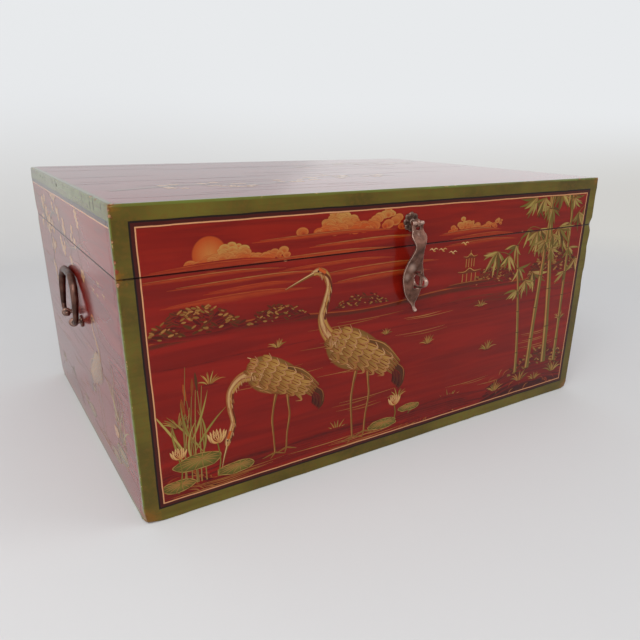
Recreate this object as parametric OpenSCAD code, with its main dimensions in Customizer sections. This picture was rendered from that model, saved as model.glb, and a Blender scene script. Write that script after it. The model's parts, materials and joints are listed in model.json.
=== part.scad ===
// Painted wooden chest with a hinged lid, a wrought hasp and two bail handles.
// Origin: centre of the underside. +X runs right along the front, +Y to the back, +Z up.

/* [Chest] */
// Width of the chest, left to right
chest_w = 600; // [450:1:800]
// Depth of the chest, front to back
chest_d = 424; // [320:1:560]
// Height of the chest with the lid shut
chest_h = 292; // [270:1:420]
// Thickness of the wall boards
board_t = 13; // [10:0.5:18]
// Thickness of the bottom panel
bottom_t = 9; // [6:0.5:14]
// Radius of the worn outer edges
edge_r = 1.2; // [0.5:0.1:3]

/* [Lid] */
// Height of the lid, from the seam to its top
lid_h = 59; // [56:1:80]
// Thickness of the top panel
top_t = 13; // [10:0.5:16]
// Gap at the seam between the lid and the case
seam_gap = 0.3; // [0.2:0.05:0.8]

/* [Cotter pins] */
// Gap between the two legs of a cotter pin
leg_gap = 0.2; // [0.1:0.05:0.4]
// Inner radius where a leg is bent over inside the board
clinch_r = 0.6; // [0.4:0.1:1.5]
// Length of a bent leg, past its bend
leg_len = 11; // [6:0.5:14]
// Radial clearance round a shank in its hole
shank_clear = 0.3; // [0.2:0.05:0.6]
// How much wider than its wire the neck of a cotter pin curves
neck_ease = 0.3; // [0.1:0.1:0.8]

/* [Hasp] */
// Sideways place of the hasp on the front
hasp_x = -4; // [-40:1:40]
// Height of the hasp's eye above the seam
eye_up = 25; // [24:0.5:28]
// Distance of the eye's axis from the front
eye_out = 10.8; // [10:0.1:14]
// Radius of the wire of the hasp's eye
eye_wire_r = 1.8; // [1.4:0.1:2]
// Radius of the round bar at the head of the hasp
bar_r = 2.2; // [1.8:0.1:2.6]
// Radial clearance of the bar in its eye
bar_clear = 0.25; // [0.2:0.05:0.5]
// Thickness of the hasp plate
hasp_t = 2.2; // [1.6:0.1:2.8]
// Length of the hasp below its eye
hasp_len = 92; // [80:1:110]
// Width of the hasp's head
head_w = 14.6; // [13.5:0.1:18]
// Width of the lobe below the head
lobe_w = 18.6; // [14:0.1:22]
// Distance of the lobe below the eye
lobe_drop = 14; // [12:0.5:15]
// Width of the waist
waist_w = 12; // [8:0.1:14]
// Distance of the waist below the eye
waist_drop = 25; // [23:0.5:28]
// Width of the belly
belly_w = 27.6; // [24:0.1:34]
// Distance of the belly above the tip
belly_up = 35.5; // [33:0.5:42]
// Width of the tip
tip_w = 4.4; // [3:0.1:7]
// How far the waist bows outward from the eye's axis
bow_out = 6.5; // [3:0.5:9]
// How far the belly lies inward from the eye's axis
belly_in = 2.2; // [1.6:0.1:2.6]
// How far the tip flicks outward from the eye's axis
flick_out = 5.5; // [2:0.5:9]
// Width of the hole below the bar
head_hole_w = 6.6; // [5:0.1:8]
// Distance from the bar's axis to the bottom of the hole
head_hole_drop = 7.2; // [6.6:0.1:9]
// Sideways shift of the staple and slot from the hasp's centre line
slot_shift = 5; // [-6:0.5:6]
// Distance of the slot's middle above the tip
slot_up = 32; // [26:0.5:36]
// Width of the slot
slot_w = 8.4; // [6.4:0.1:9]
// Clearance above and below the staple in the slot
slot_clear = 1; // [0.8:0.1:2]

/* [Staple] */
// Radius of the staple's wire
staple_wire_r = 2.2; // [1.8:0.1:2.6]
// Half the inner height of the staple's loop
staple_in_r = 5.9; // [5:0.1:6.5]
// Distance of the loop's far end from the front
staple_reach = 26; // [20:0.5:32]
// Gap between the staple's neck and the front
staple_lift = 0.2; // [0.1:0.1:1]

/* [Rosette] */
// Radius of the ring that the petals' centres lie on
rosette_ring_r = 6.6; // [5:0.1:8]
// Radius of a petal
petal_r = 3.6; // [3:0.1:4.5]
// Number of petals
petal_count = 8; // [6:1:10]
// Thickness of the rosette's plate
rosette_t = 1.2; // [0.8:0.1:2]
// Rise of each petal's dome
petal_rise = 1; // [0.5:0.1:1.5]
// Radius of the raised collar round the shank
collar_r = 3.4; // [3:0.1:4]
// Height of the raised collar above the front
collar_h = 3; // [2:0.1:3.6]

/* [Handles] */
// Height of the handle pivots above the middle of the chest
pivot_rise = 0; // [-50:1:10]
// Distance between the two eyes of a handle
eye_spacing = 43; // [36:1:60]
// Distance of a handle's pivot axis from the end board
pivot_out = 8.2; // [8:0.1:12]
// Radius of the wire of a handle's eyes
grip_eye_wire_r = 2.3; // [1.8:0.1:2.5]
// Radius of the round ends of the bail
bail_end_r = 2.5; // [2:0.1:3]
// Radial clearance of the bail's ends in the eyes
bail_clear = 0.25; // [0.2:0.05:0.5]
// Radius of the bail where the hand holds it
bail_grip_r = 4; // [3:0.1:5]
// Height of the bail's centre line above its pivots
bail_h = 51; // [45:1:70]
// Width of the bail between its centre lines
bail_w = 72; // [66:1:96]
// Radius of the bend beside each eye
foot_r = 11; // [8:0.5:12]
// Radius of the bends at the top of the bail
shoulder_r = 24; // [16:1:28]
// Radius of the knobs on the bail's ends
knob_r = 3.5; // [3.4:0.1:4.5]
// Clearance between the raised bail and the end board
lean_gap = 0.3; // [0.2:0.1:1]
// Radius of the washers under the eyes
washer_r = 6.5; // [5:0.1:8]
// Thickness of the washers
washer_t = 2; // [1:0.1:2.2]

/* [Hinges] */
// Distance from a hinge's middle to the chest's end
hinge_inset = 110; // [60:1:150]
// Length of a hinge
hinge_len = 60; // [45:1:80]
// Height of a hinge leaf on the wood
leaf_h = 24; // [18:0.5:28]
// Thickness of a hinge leaf
leaf_t = 1.6; // [1.2:0.1:2]
// Outer radius of a hinge's barrel
barrel_r = 3.2; // [2.8:0.1:4]
// Radius of a hinge pin
pin_r = 1.6; // [1.2:0.1:2]
// Radial clearance of the pin in the barrel
pin_clear = 0.05; // [0.02:0.01:0.1]
// Clearance between the barrel and the wood
barrel_clear = 0.3; // [0.2:0.1:0.8]
// Gap between neighbouring knuckles
knuckle_gap = 0.4; // [0.2:0.1:1]
// Radius of the rounded heads of a hinge pin
pin_head_r = 2.4; // [2.2:0.1:2.7]
// Thickness of the heads of a hinge pin
pin_head_t = 1.2; // [0.8:0.1:2]
// Radius of a screw's shank
screw_r = 1.6; // [1.2:0.1:2]
// Radius of a screw's head
screw_head_r = 3.2; // [2.8:0.1:3.8]
// Length of a screw under the leaf
screw_len = 10; // [6:0.5:11]
// Radial clearance of a screw in its hole
screw_clear = 0.1; // [0.05:0.05:0.2]
// Distance between neighbouring screws
screw_pitch = 21; // [15:0.5:24]
// How far the middle screw sits below the outer ones
screw_stagger = 6; // [0:0.5:8]
// Width of the slot in a screw's head
driver_w = 0.9; // [0.6:0.1:1.2]
// Depth of the slot in a screw's head
driver_depth = 0.7; // [0.4:0.1:1]

/* [Hidden] */

$fn = 48;
cut_over = 1;
eye_steps = 18;
bend_steps = 8;
rod_sides = 16;
seam_z = chest_h - lid_h;
case_h = seam_z - seam_gap / 2;
lid_z = seam_z + seam_gap / 2;
rail_h = chest_h - top_t - lid_z;
end_d = chest_d - 2 * board_t;
front_y = -chest_d / 2;
back_y = chest_d / 2;

eye_z = seam_z + eye_up;
eye_y = front_y - eye_out;
eye_in_r = bar_r + bar_clear;
slot_drop = hasp_len - slot_up;
belly_drop = hasp_len - belly_up;
slot_z = eye_z - slot_drop;
slot_x = hasp_x + slot_shift;
slot_h = 2 * (staple_in_r + staple_wire_r + slot_clear);
staple_out = neck_len(staple_in_r, staple_wire_r) + staple_lift;
staple_draw = (staple_reach - staple_out - staple_wire_r) / staple_in_r;

grip_eye_in_r = bail_end_r + bail_clear;
bail_lean = asin((pivot_out - bail_grip_r - lean_gap) / bail_h);
pivot_x = chest_w / 2 + pivot_out;
pivot_z = chest_h / 2 + pivot_rise;

hinge_x = chest_w / 2 - hinge_inset;
hinge_y = back_y + barrel_clear + barrel_r;
knuckle_len = hinge_len / 3;

red = "#8c1f1c";
olive = "#6b6229";
wood = "#b58a5a";
iron = "#5c4a42";

// Curves and swept rods

function unit(v) = v / norm(v);

// Points of an arc in the XY plane
function arc(centre, r, from, to, steps) = [
    for (i = [0 : steps])
        let (a = from + (to - from) * i / steps) centre + r * [cos(a), sin(a)]
];

// A half line joined to its mirror image across the Y axis
function both_halves(half) = concat(half, [for (i = [len(half) - 2 : -1 : 0]) [-half[i].x, half[i].y]]);

// Direction of a line at its point i
function heading(line, i) =
    i == 0 ? unit(line[1] - line[0])
    : i == len(line) - 1 ? unit(line[i] - line[i - 1])
    : unit(unit(line[i] - line[i - 1]) + unit(line[i + 1] - line[i]));

// Solid swept along a line in the XY plane. A section's points are distances to its left and up.
module sweep(line, sections) {
    rings = len(line);
    sides = len(sections[0]);
    points = [
        for (i = [0 : rings - 1])
            let (d = heading(line, i))
            for (p = sections[i]) [line[i].x - p.x * d.y, line[i].y + p.x * d.x, p.y]
    ];
    walls = [
        for (i = [0 : rings - 2], k = [0 : sides - 1])
            [i * sides + k, (i + 1) * sides + k, (i + 1) * sides + (k + 1) % sides, i * sides + (k + 1) % sides]
    ];
    start = [for (k = [0 : sides - 1]) k];
    end = [for (k = [sides - 1 : -1 : 0]) (rings - 1) * sides + k];
    polyhedron(points, concat(walls, [start, end]), convexity = 8);
}

// Cotter pins

// Radius of the curve where the eye runs into the legs
function neck_r(wire_r) = wire_r + neck_ease;

// Distance from the middle of the eye to where the legs run side by side
function neck_len(in_r, wire_r) =
    sqrt(pow(in_r + neck_r(wire_r), 2) - pow(leg_gap / 2 + neck_r(wire_r), 2));

// Flat side of half a cotter pin's wire, from the tip of a bent leg to the far side of the eye.
// The far half of the eye is drawn out by a factor, draw.
function cotter_half_line(in_r, wire_r, reach, draw) =
    let (
        neck_x = leg_gap / 2 + neck_r(wire_r),
        neck_y = neck_len(in_r, wire_r),
        neck_angle = atan2(neck_x, neck_y),
        clinch_x = leg_gap / 2 + wire_r + clinch_r
    )
    concat(
        [[clinch_x + leg_len, reach + wire_r + clinch_r]],
        arc([clinch_x, reach], wire_r + clinch_r, 90, 180, 4),
        arc([neck_x, neck_y], neck_r(wire_r), 180, 270 - neck_angle, 4),
        [
            for (i = [1 : eye_steps])
                let (p = arc([0, 0], in_r, 90 - neck_angle, -90, eye_steps)[i]) [p.x, p.y * (p.y < 0 ? draw : 1)]
        ]
    );

// Cotter pin bent from half-round wire. Its eye's axis is Z, and its legs are bent apart at reach.
module cotter(in_r, wire_r, reach, draw = 1) {
    line = both_halves(cotter_half_line(in_r, wire_r, reach, draw));
    section = [for (a = [-90 : 30 : 90]) wire_r * [cos(a), sin(a)]];
    sweep(line, [for (p = line) section]);
}

// Cotter pin driven into a front board, with its eye out from the wood by out
module front_cotter(x, z, out, in_r, wire_r, draw = 1) {
    translate([x, front_y - out, z]) rotate([0, -90, 0])
        cotter(in_r, wire_r, out + board_t, draw);
}

// Hole for a cotter pin through a front board
module front_cotter_hole(x, z, wire_r) {
    translate([x, front_y - cut_over, z]) rotate([-90, 0, 0])
        cylinder(r = wire_r + leg_gap / 2 + shank_clear, h = board_t + 2 * cut_over);
}

// Boards

// Plan of a front or back board: the two outer corners are worn round
module long_board_plan(length, thick) {
    translate([-length / 2, edge_r]) square([length, thick - edge_r]);
    translate([edge_r - length / 2, 0]) square([length - 2 * edge_r, thick]);
    for (side = [-1, 1]) translate([side * (length / 2 - edge_r), edge_r]) circle(edge_r);
}

module front_board(z, height) {
    translate([0, front_y, z]) linear_extrude(height) long_board_plan(chest_w, board_t);
}

module back_board(z, height) {
    mirror([0, 1, 0]) front_board(z, height);
}

module end_board(side, z, height) {
    translate([side > 0 ? chest_w / 2 - board_t : -chest_w / 2, -end_d / 2, z])
        cube([board_t, end_d, height]);
}

// Section of the top panel: its two upper edges are worn round
module worn_section(length, height) {
    translate([-length / 2, 0]) square([length, height - edge_r]);
    translate([edge_r - length / 2, 0]) square([length - 2 * edge_r, height]);
    for (side = [-1, 1]) translate([side * (length / 2 - edge_r), height - edge_r]) circle(edge_r);
}

module worn_plan() {
    square([chest_w - 2 * edge_r, chest_d], center = true);
    square([chest_w, chest_d - 2 * edge_r], center = true);
    for (i = [-1, 1], j = [-1, 1])
        translate([i * (chest_w / 2 - edge_r), j * (chest_d / 2 - edge_r)]) circle(edge_r);
}

// Holes for the screws of both hinges, on the case at side -1 or the lid at side 1
module hinge_screw_holes(side) {
    at_hinge_screws(side) cylinder(r = screw_r + screw_clear, h = screw_len + cut_over);
}

module case_front_board() {
    color(red) difference() {
        front_board(0, case_h);
        front_cotter_hole(slot_x, slot_z, staple_wire_r);
    }
}

module case_back_board() {
    color(red) difference() {
        back_board(0, case_h);
        hinge_screw_holes(-1);
    }
}

module case_end(side) {
    color(red) difference() {
        end_board(side, 0, case_h);
        at_grip_eyes(side) translate([0, pivot_out - cut_over, 0]) rotate([-90, 0, 0])
            cylinder(r = grip_eye_wire_r + leg_gap / 2 + shank_clear, h = board_t + 2 * cut_over);
    }
}

module case_left_end() {
    case_end(-1);
}

module case_right_end() {
    case_end(1);
}

module case_bottom_panel() {
    color(wood) translate([board_t - chest_w / 2, -end_d / 2, 0])
        cube([chest_w - 2 * board_t, end_d, bottom_t]);
}

module lid_front_rail() {
    color(red) difference() {
        front_board(lid_z, rail_h);
        front_cotter_hole(hasp_x, eye_z, eye_wire_r);
    }
}

module lid_back_rail() {
    color(red) difference() {
        back_board(lid_z, rail_h);
        hinge_screw_holes(1);
    }
}

module lid_left_rail() {
    color(red) end_board(-1, lid_z, rail_h);
}

module lid_right_rail() {
    color(red) end_board(1, lid_z, rail_h);
}

module lid_top_panel() {
    color(olive) translate([0, 0, chest_h - top_t]) intersection() {
        linear_extrude(top_t) worn_plan();
        translate([0, chest_d / 2 + cut_over, 0]) rotate([90, 0, 0])
            linear_extrude(chest_d + 2 * cut_over) worn_section(chest_w, top_t);
        translate([-chest_w / 2 - cut_over, 0, 0]) rotate([90, 0, 90])
            linear_extrude(chest_w + 2 * cut_over) worn_section(chest_d, top_t);
    }
}

// Hasp

// Point at share t between b and c of a smooth curve through a, b, c and d
function smooth(a, b, c, d, t) =
    0.5 * (2 * b + (c - a) * t + (2 * a - 5 * b + 4 * c - d) * t * t + (3 * b - a - 3 * c + d) * t * t * t);

// Points of a smooth curve through a list of points, with steps to each stretch
function curve(p, steps) = [
    for (i = [0 : len(p) - 2], k = [0 : steps - 1])
        smooth(p[max(i - 1, 0)], p[i], p[i + 1], p[min(i + 2, len(p) - 1)], k / steps),
    p[len(p) - 1]
];

// Half widths of the hasp, each with its distance below the eye
hasp_edge = curve([
    [head_w / 2, 0],
    [head_w / 2 - 0.2, lobe_drop / 2],
    [lobe_w / 2, lobe_drop],
    [waist_w / 2, waist_drop],
    [(waist_w + belly_w) / 4, (waist_drop + belly_drop) / 2],
    [belly_w / 2, belly_drop],
    [0.36 * belly_w, (belly_drop + hasp_len) / 2],
    [tip_w / 2, hasp_len - 6],
    [tip_w / 2, hasp_len - 1.2],
    [tip_w / 4, hasp_len]
], 5);

// Side view of the hasp's middle line, as distance out from the eye's axis and below it
hasp_line = curve([
    [0, 0],
    [0.3, lobe_drop / 2],
    [bow_out, waist_drop - 3],
    [-0.4 * belly_in, belly_drop - 14],
    [-belly_in, belly_drop + 3],
    [-belly_in, hasp_len - 12],
    [flick_out / 6, hasp_len - 3.5],
    [flick_out, hasp_len + 0.5]
], 6);

// Points of a line moved sideways by a distance
function beside(p, by) = [
    for (i = [0 : len(p) - 1])
        let (d = unit(p[min(i + 1, len(p) - 1)] - p[max(i - 1, 0)])) p[i] + by * [d.y, -d.x]
];

function backward(p) = [for (i = [len(p) - 1 : -1 : 0]) p[i]];

module hasp_outline() {
    polygon(concat(
        [for (p = hasp_edge) [p.x, -p.y]],
        [for (p = backward(hasp_edge)) [-p.x, -p.y]]
    ));
}

module hasp_side_view() {
    polygon([
        for (p = concat(beside(hasp_line, hasp_t / 2), backward(beside(hasp_line, -hasp_t / 2))))
            [-p.x, -p.y]
    ]);
}

// Hasp: a forged plate, bent in side view, that hangs by a round bar
module hasp_plate() {
    bow_room = 3 * (bow_out + flick_out + belly_in + hasp_t);
    color(iron) translate([hasp_x, eye_y, eye_z]) {
        difference() {
            intersection() {
                translate([0, bow_room / 2, 0]) rotate([90, 0, 0])
                    linear_extrude(bow_room) hasp_outline();
                translate([-belly_w, 0, 0]) rotate([90, 0, 90])
                    linear_extrude(2 * belly_w) hasp_side_view();
            }
            translate([-head_hole_w / 2, -bow_room / 2, -head_hole_drop])
                cube([head_hole_w, bow_room, head_hole_drop + cut_over]);
            translate([slot_shift - slot_w / 2, -bow_room / 2, -slot_drop - slot_h / 2])
                cube([slot_w, bow_room, slot_h]);
        }
        translate([-head_w / 2, 0, 0]) rotate([0, 90, 0]) cylinder(r = bar_r, h = head_w);
    }
}

module hasp_eye() {
    color(iron) front_cotter(hasp_x, eye_z, eye_out, eye_in_r, eye_wire_r);
}

module hasp_staple() {
    color(iron) front_cotter(slot_x, slot_z, staple_out, staple_in_r, staple_wire_r, staple_draw);
}

// Scalloped rosette with a domed petal round each lobe and a raised collar
module hasp_rosette() {
    dome_r = (petal_r * petal_r + petal_rise * petal_rise) / (2 * petal_rise);
    color(iron) translate([hasp_x, front_y, eye_z]) rotate([90, 0, 0]) difference() {
        union() {
            linear_extrude(rosette_t) {
                circle(rosette_ring_r);
                for (i = [0 : petal_count - 1])
                    rotate((i + 0.5) * 360 / petal_count) translate([rosette_ring_r, 0]) circle(petal_r);
            }
            for (i = [0 : petal_count - 1])
                rotate((i + 0.5) * 360 / petal_count) translate([rosette_ring_r, 0, rosette_t])
                    intersection() {
                        translate([0, 0, petal_rise - dome_r]) sphere(dome_r);
                        translate([-dome_r, -dome_r, -rosette_t / 2]) cube(2 * dome_r);
                    }
            cylinder(r = collar_r, h = collar_h);
        }
        translate([0, 0, -cut_over])
            cylinder(r = eye_wire_r + leg_gap / 2 + shank_clear, h = collar_h + 2 * cut_over);
    }
}

// Handles

// Puts children at both eyes of an end's handle, with +Y running into the wood
module at_grip_eyes(side) {
    for (k = [-1, 1]) translate([side * pivot_x, k * eye_spacing / 2, pivot_z])
        rotate([0, 0, side * 90]) children();
}

module grip_eyes(side) {
    color(iron) at_grip_eyes(side) rotate([0, -90, 0])
        cotter(grip_eye_in_r, grip_eye_wire_r, pivot_out + board_t);
}

module grip_washers(side) {
    color(iron) at_grip_eyes(side) translate([0, pivot_out - washer_t, 0]) rotate([-90, 0, 0])
        difference() {
            cylinder(r = washer_r, h = washer_t);
            translate([0, 0, -cut_over])
                cylinder(r = grip_eye_wire_r + leg_gap / 2 + shank_clear, h = washer_t + 2 * cut_over);
        }
}

// Middle line of the bail between its eyes
bail_line = both_halves(concat(
    [[eye_spacing / 2 + grip_eye_wire_r + bail_clear, 0]],
    arc([bail_w / 2 - foot_r, foot_r], foot_r, -90, 0, bend_steps),
    arc([bail_w / 2 - shoulder_r, bail_h - shoulder_r], shoulder_r, 0, 90, bend_steps),
    [[0, bail_h]]
));

// Radius of the bail at a height above its pivots
function bail_r_at(h) =
    bail_end_r + bail_clear + (bail_grip_r - bail_end_r - bail_clear) * sin(90 * min(1, h / bail_h));

// Bail: a tapered rod whose round ends turn in through the eyes and end in knobs
module bail(side) {
    tip_y = eye_spacing / 2 - grip_eye_wire_r - knob_r;
    pin_end_y = eye_spacing / 2 + grip_eye_wire_r + bail_clear + foot_r / 8;
    color(iron) translate([side * pivot_x, 0, pivot_z]) rotate([0, -side * bail_lean, 0]) {
        rotate([90, 0, 90])
            sweep(bail_line, [for (p = bail_line) [for (k = [0 : rod_sides - 1])
                bail_r_at(p.y) * [cos(k * 360 / rod_sides), sin(k * 360 / rod_sides)]]]);
        for (k = [-1, 1]) {
            translate([0, k * tip_y, 0]) sphere(knob_r);
            translate([0, k > 0 ? tip_y : -pin_end_y, 0]) rotate([-90, 0, 0])
                cylinder(r = bail_end_r, h = pin_end_y - tip_y);
        }
    }
}

module left_handle_bail() {
    bail(-1);
}

module left_handle_eyes() {
    grip_eyes(-1);
}

module left_handle_washers() {
    grip_washers(-1);
}

module right_handle_bail() {
    bail(1);
}

module right_handle_eyes() {
    grip_eyes(1);
}

module right_handle_washers() {
    grip_washers(1);
}

// Hinges

// Puts children at each screw of a leaf, with +Z running into the wood
module at_leaf_screws(side) {
    for (k = [-1 : 1]) {
        drop = leaf_h / 2 + barrel_r / 2 + (k == 0 ? screw_stagger / 2 : -screw_stagger / 2);
        translate([k * screw_pitch, back_y, seam_z + side * drop]) rotate([90, 0, 0]) children();
    }
}

module at_hinge_screws(side) {
    for (k = [-1, 1]) translate([k * hinge_x, 0, 0]) at_leaf_screws(side) children();
}

// One leaf: side is -1 on the case and 1 on the lid, and knuckles lists its barrel's thirds
module leaf(side, x, knuckles) {
    color(iron) difference() {
        union() {
            translate([x - hinge_len / 2, back_y, seam_z + (side > 0 ? barrel_r + knuckle_gap : -leaf_h)])
                cube([hinge_len, leaf_t, leaf_h - barrel_r - knuckle_gap]);
            for (k = knuckles) {
                from = x + (k - 0.5) * knuckle_len + knuckle_gap / 2;
                translate([from, back_y, side > 0 ? lid_z : seam_z - leaf_h / 2])
                    cube([knuckle_len - knuckle_gap, leaf_t, leaf_h / 2 - seam_gap / 2]);
                translate([from, hinge_y, seam_z]) rotate([0, 90, 0])
                    cylinder(r = barrel_r, h = knuckle_len - knuckle_gap);
            }
        }
        translate([x - hinge_len, hinge_y, seam_z]) rotate([0, 90, 0])
            cylinder(r = pin_r + pin_clear, h = 2 * hinge_len);
        translate([x, 0, 0]) at_leaf_screws(side) translate([0, 0, -leaf_t]) {
            cylinder(r1 = screw_head_r, r2 = screw_r, h = leaf_t);
            translate([0, 0, -cut_over]) cylinder(r = screw_r + screw_clear, h = leaf_t + 2 * cut_over);
        }
    }
}

module hinge_pin(x) {
    pin_len = hinge_len - knuckle_gap;
    color(iron) translate([x - pin_len / 2, hinge_y, seam_z]) rotate([0, 90, 0]) {
        cylinder(r = pin_r, h = pin_len);
        for (z = [-pin_head_t, pin_len]) translate([0, 0, z]) cylinder(r = pin_head_r, h = pin_head_t);
    }
}

// Countersunk screw with its head flush in the leaf
module screw() {
    difference() {
        union() {
            translate([0, 0, -leaf_t])
                cylinder(r1 = screw_head_r - screw_clear, r2 = screw_r, h = leaf_t);
            translate([0, 0, -leaf_t / 2]) cylinder(r = screw_r, h = screw_len + leaf_t / 2);
        }
        translate([-screw_head_r, -driver_w / 2, -leaf_t - cut_over])
            cube([2 * screw_head_r, driver_w, driver_depth + cut_over]);
    }
}

module left_hinge_case_leaf() {
    leaf(-1, -hinge_x, [-1, 1]);
}

module left_hinge_lid_leaf() {
    leaf(1, -hinge_x, [0]);
}

module left_hinge_pin() {
    hinge_pin(-hinge_x);
}

module right_hinge_case_leaf() {
    leaf(-1, hinge_x, [-1, 1]);
}

module right_hinge_lid_leaf() {
    leaf(1, hinge_x, [0]);
}

module right_hinge_pin() {
    hinge_pin(hinge_x);
}

module case_hinge_screws() {
    color(iron) at_hinge_screws(-1) screw();
}

module lid_hinge_screws() {
    color(iron) at_hinge_screws(1) screw();
}

case_front_board();
case_back_board();
case_left_end();
case_right_end();
case_bottom_panel();
lid_front_rail();
lid_back_rail();
lid_left_rail();
lid_right_rail();
lid_top_panel();
hasp_plate();
hasp_eye();
hasp_rosette();
hasp_staple();
left_handle_bail();
left_handle_eyes();
left_handle_washers();
right_handle_bail();
right_handle_eyes();
right_handle_washers();
left_hinge_case_leaf();
left_hinge_lid_leaf();
left_hinge_pin();
right_hinge_case_leaf();
right_hinge_lid_leaf();
right_hinge_pin();
case_hinge_screws();
lid_hinge_screws();
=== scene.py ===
import bpy
import bmesh
import json
import math
import random
from mathutils import Matrix, Vector, noise


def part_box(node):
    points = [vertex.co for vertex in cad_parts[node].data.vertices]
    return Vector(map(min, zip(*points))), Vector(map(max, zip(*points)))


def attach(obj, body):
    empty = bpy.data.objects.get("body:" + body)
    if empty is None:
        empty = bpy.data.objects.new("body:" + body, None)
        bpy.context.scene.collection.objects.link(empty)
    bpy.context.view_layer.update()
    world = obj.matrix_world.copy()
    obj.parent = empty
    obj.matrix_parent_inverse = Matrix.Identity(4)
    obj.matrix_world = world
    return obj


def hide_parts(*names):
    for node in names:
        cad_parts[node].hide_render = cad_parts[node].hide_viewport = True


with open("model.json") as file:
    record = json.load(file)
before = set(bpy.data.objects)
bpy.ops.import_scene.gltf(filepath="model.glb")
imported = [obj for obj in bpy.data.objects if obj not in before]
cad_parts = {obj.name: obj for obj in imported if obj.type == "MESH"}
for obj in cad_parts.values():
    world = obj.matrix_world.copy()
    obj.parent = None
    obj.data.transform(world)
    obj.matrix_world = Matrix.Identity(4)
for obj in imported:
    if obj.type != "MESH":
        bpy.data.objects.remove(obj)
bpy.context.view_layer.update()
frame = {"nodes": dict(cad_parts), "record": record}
mm = 0.001

# The chest's sizes come from the frame
frontLow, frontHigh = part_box("case_front_board")
topLow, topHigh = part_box("lid_top_panel")
halfWidth = topHigh.x / mm
halfDepth = topHigh.y / mm
chestHeight = topHigh.z / mm
boardThick = (frontHigh.y - frontLow.y) / mm
seamHeight = (frontHigh.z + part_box("lid_front_rail")[0].z) / 2 / mm
joints = {joint["name"]: joint for joint in frame["record"]["behaviour"]["joints"]}


def pivotOf(jointName):
    return Vector(joints[jointName]["pos_m"]) / mm


def srgb(hexCode):
    # Hex colour as the linear numbers that Blender wants
    channels = [int(hexCode[i:i + 2], 16) / 255 for i in (1, 3, 5)]
    linear = [c / 12.92 if c <= 0.04045 else ((c + 0.055) / 1.055) ** 2.4 for c in channels]
    return (*linear, 1.0)


# Helpers for node trees

def feed(tree, socket, value):
    # A value may be a number, a socket or a node, which stands for its first output
    if isinstance(value, bpy.types.Node):
        value = value.outputs[0]
    if isinstance(value, bpy.types.NodeSocket):
        tree.links.new(value, socket)
    else:
        socket.default_value = value


def addNode(tree, kind, given=None, **settings):
    node = tree.nodes.new(kind)
    for name, value in settings.items():
        setattr(node, name, value)
    for socket, value in (given or {}).items():
        feed(tree, node.inputs[socket], value)
    return node


def calc(tree, operation, *values, clamp=False):
    node = addNode(tree, "ShaderNodeMath", dict(enumerate(values)), operation=operation, use_clamp=clamp)
    return node.outputs[0]


def mathOf(operation):
    return lambda tree, *values: calc(tree, operation, *values)


plus, minus, times = mathOf("ADD"), mathOf("SUBTRACT"), mathOf("MULTIPLY")
timesPlus, most, least = mathOf("MULTIPLY_ADD"), mathOf("MAXIMUM"), mathOf("MINIMUM")
absolute, below = mathOf("ABSOLUTE"), mathOf("LESS_THAN")


def vectorCalc(tree, operation, *values):
    node = addNode(tree, "ShaderNodeVectorMath", dict(enumerate(values)), operation=operation)
    return node.outputs["Value" if operation in ("LENGTH", "DISTANCE") else "Vector"]


def scaled(tree, vector, factor):
    node = addNode(tree, "ShaderNodeVectorMath", {0: vector, "Scale": factor}, operation="SCALE")
    return node.outputs["Vector"]


def split(tree, vector):
    return addNode(tree, "ShaderNodeSeparateXYZ", {0: vector}).outputs


def blend(tree, share, first, second, kind="RGBA"):
    a, b, result = {"FLOAT": (2, 3, 0), "VECTOR": (4, 5, 1), "RGBA": (6, 7, 2)}[kind]
    return addNode(tree, "ShaderNodeMix", {0: share, a: first, b: second}, data_type=kind).outputs[result]


def step(tree, value, low, high):
    # Soft step from 0 at low to 1 at high
    node = addNode(tree, "ShaderNodeMapRange", {0: value, 1: low, 2: high}, interpolation_type="SMOOTHSTEP")
    return node.outputs[0]


def cloud(tree, place, scale, detail=3.0, roughness=0.55, distortion=0.0):
    return addNode(tree, "ShaderNodeTexNoise", {
        "Vector": place, "Scale": scale, "Detail": detail, "Roughness": roughness,
        "Distortion": distortion}).outputs["Fac"]


def colourSteps(tree, value, stops):
    node = tree.nodes.new("ShaderNodeValToRGB")
    ramp = node.color_ramp
    while len(ramp.elements) < len(stops):
        ramp.elements.new(1.0)
    for element, (place, colour) in zip(ramp.elements, stops):
        element.position = place
        element.color = colour
    feed(tree, node.inputs["Fac"], value)
    return node.outputs["Color"]


def newGroup(name, inputs, outputs, kind="ShaderNodeTree"):
    # Inputs and outputs are dictionaries from each socket's name to its type
    tree = bpy.data.node_groups.new(name, kind)
    for way, sockets in (("INPUT", inputs), ("OUTPUT", outputs)):
        for socketName, socketType in sockets.items():
            tree.interface.new_socket(socketName, in_out=way, socket_type="NodeSocket" + socketType)
    return tree, tree.nodes.new("NodeGroupInput").outputs, tree.nodes.new("NodeGroupOutput").inputs


def useGroup(tree, group, **values):
    return addNode(tree, "ShaderNodeGroup", values, node_tree=group).outputs


def newMaterial(name):
    material = bpy.data.materials.new(name)
    material.use_nodes = True
    tree = material.node_tree
    tree.nodes.clear()
    shader = tree.nodes.new("ShaderNodeBsdfPrincipled")
    output = tree.nodes.new("ShaderNodeOutputMaterial")
    tree.links.new(shader.outputs[0], output.inputs[0])
    place = tree.nodes.new("ShaderNodeTexCoord").outputs["Object"]
    return material, tree, shader, place


def bump(tree, height, strength):
    node = addNode(tree, "ShaderNodeBump", {"Strength": strength, "Distance": mm, "Height": height})
    return node.outputs["Normal"]


# Wood: grain runs along the direction that Squeeze keeps long

woodLook = {
    "light": srgb("#c8a070"),
    "dark": srgb("#96693f"),
    "alongX": (0.05, 0.6, 0.6),
    "alongY": (0.6, 0.05, 0.6),
    "chipLight": srgb("#cda47c"),
    "chipDark": srgb("#7d3a26"),
}


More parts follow.
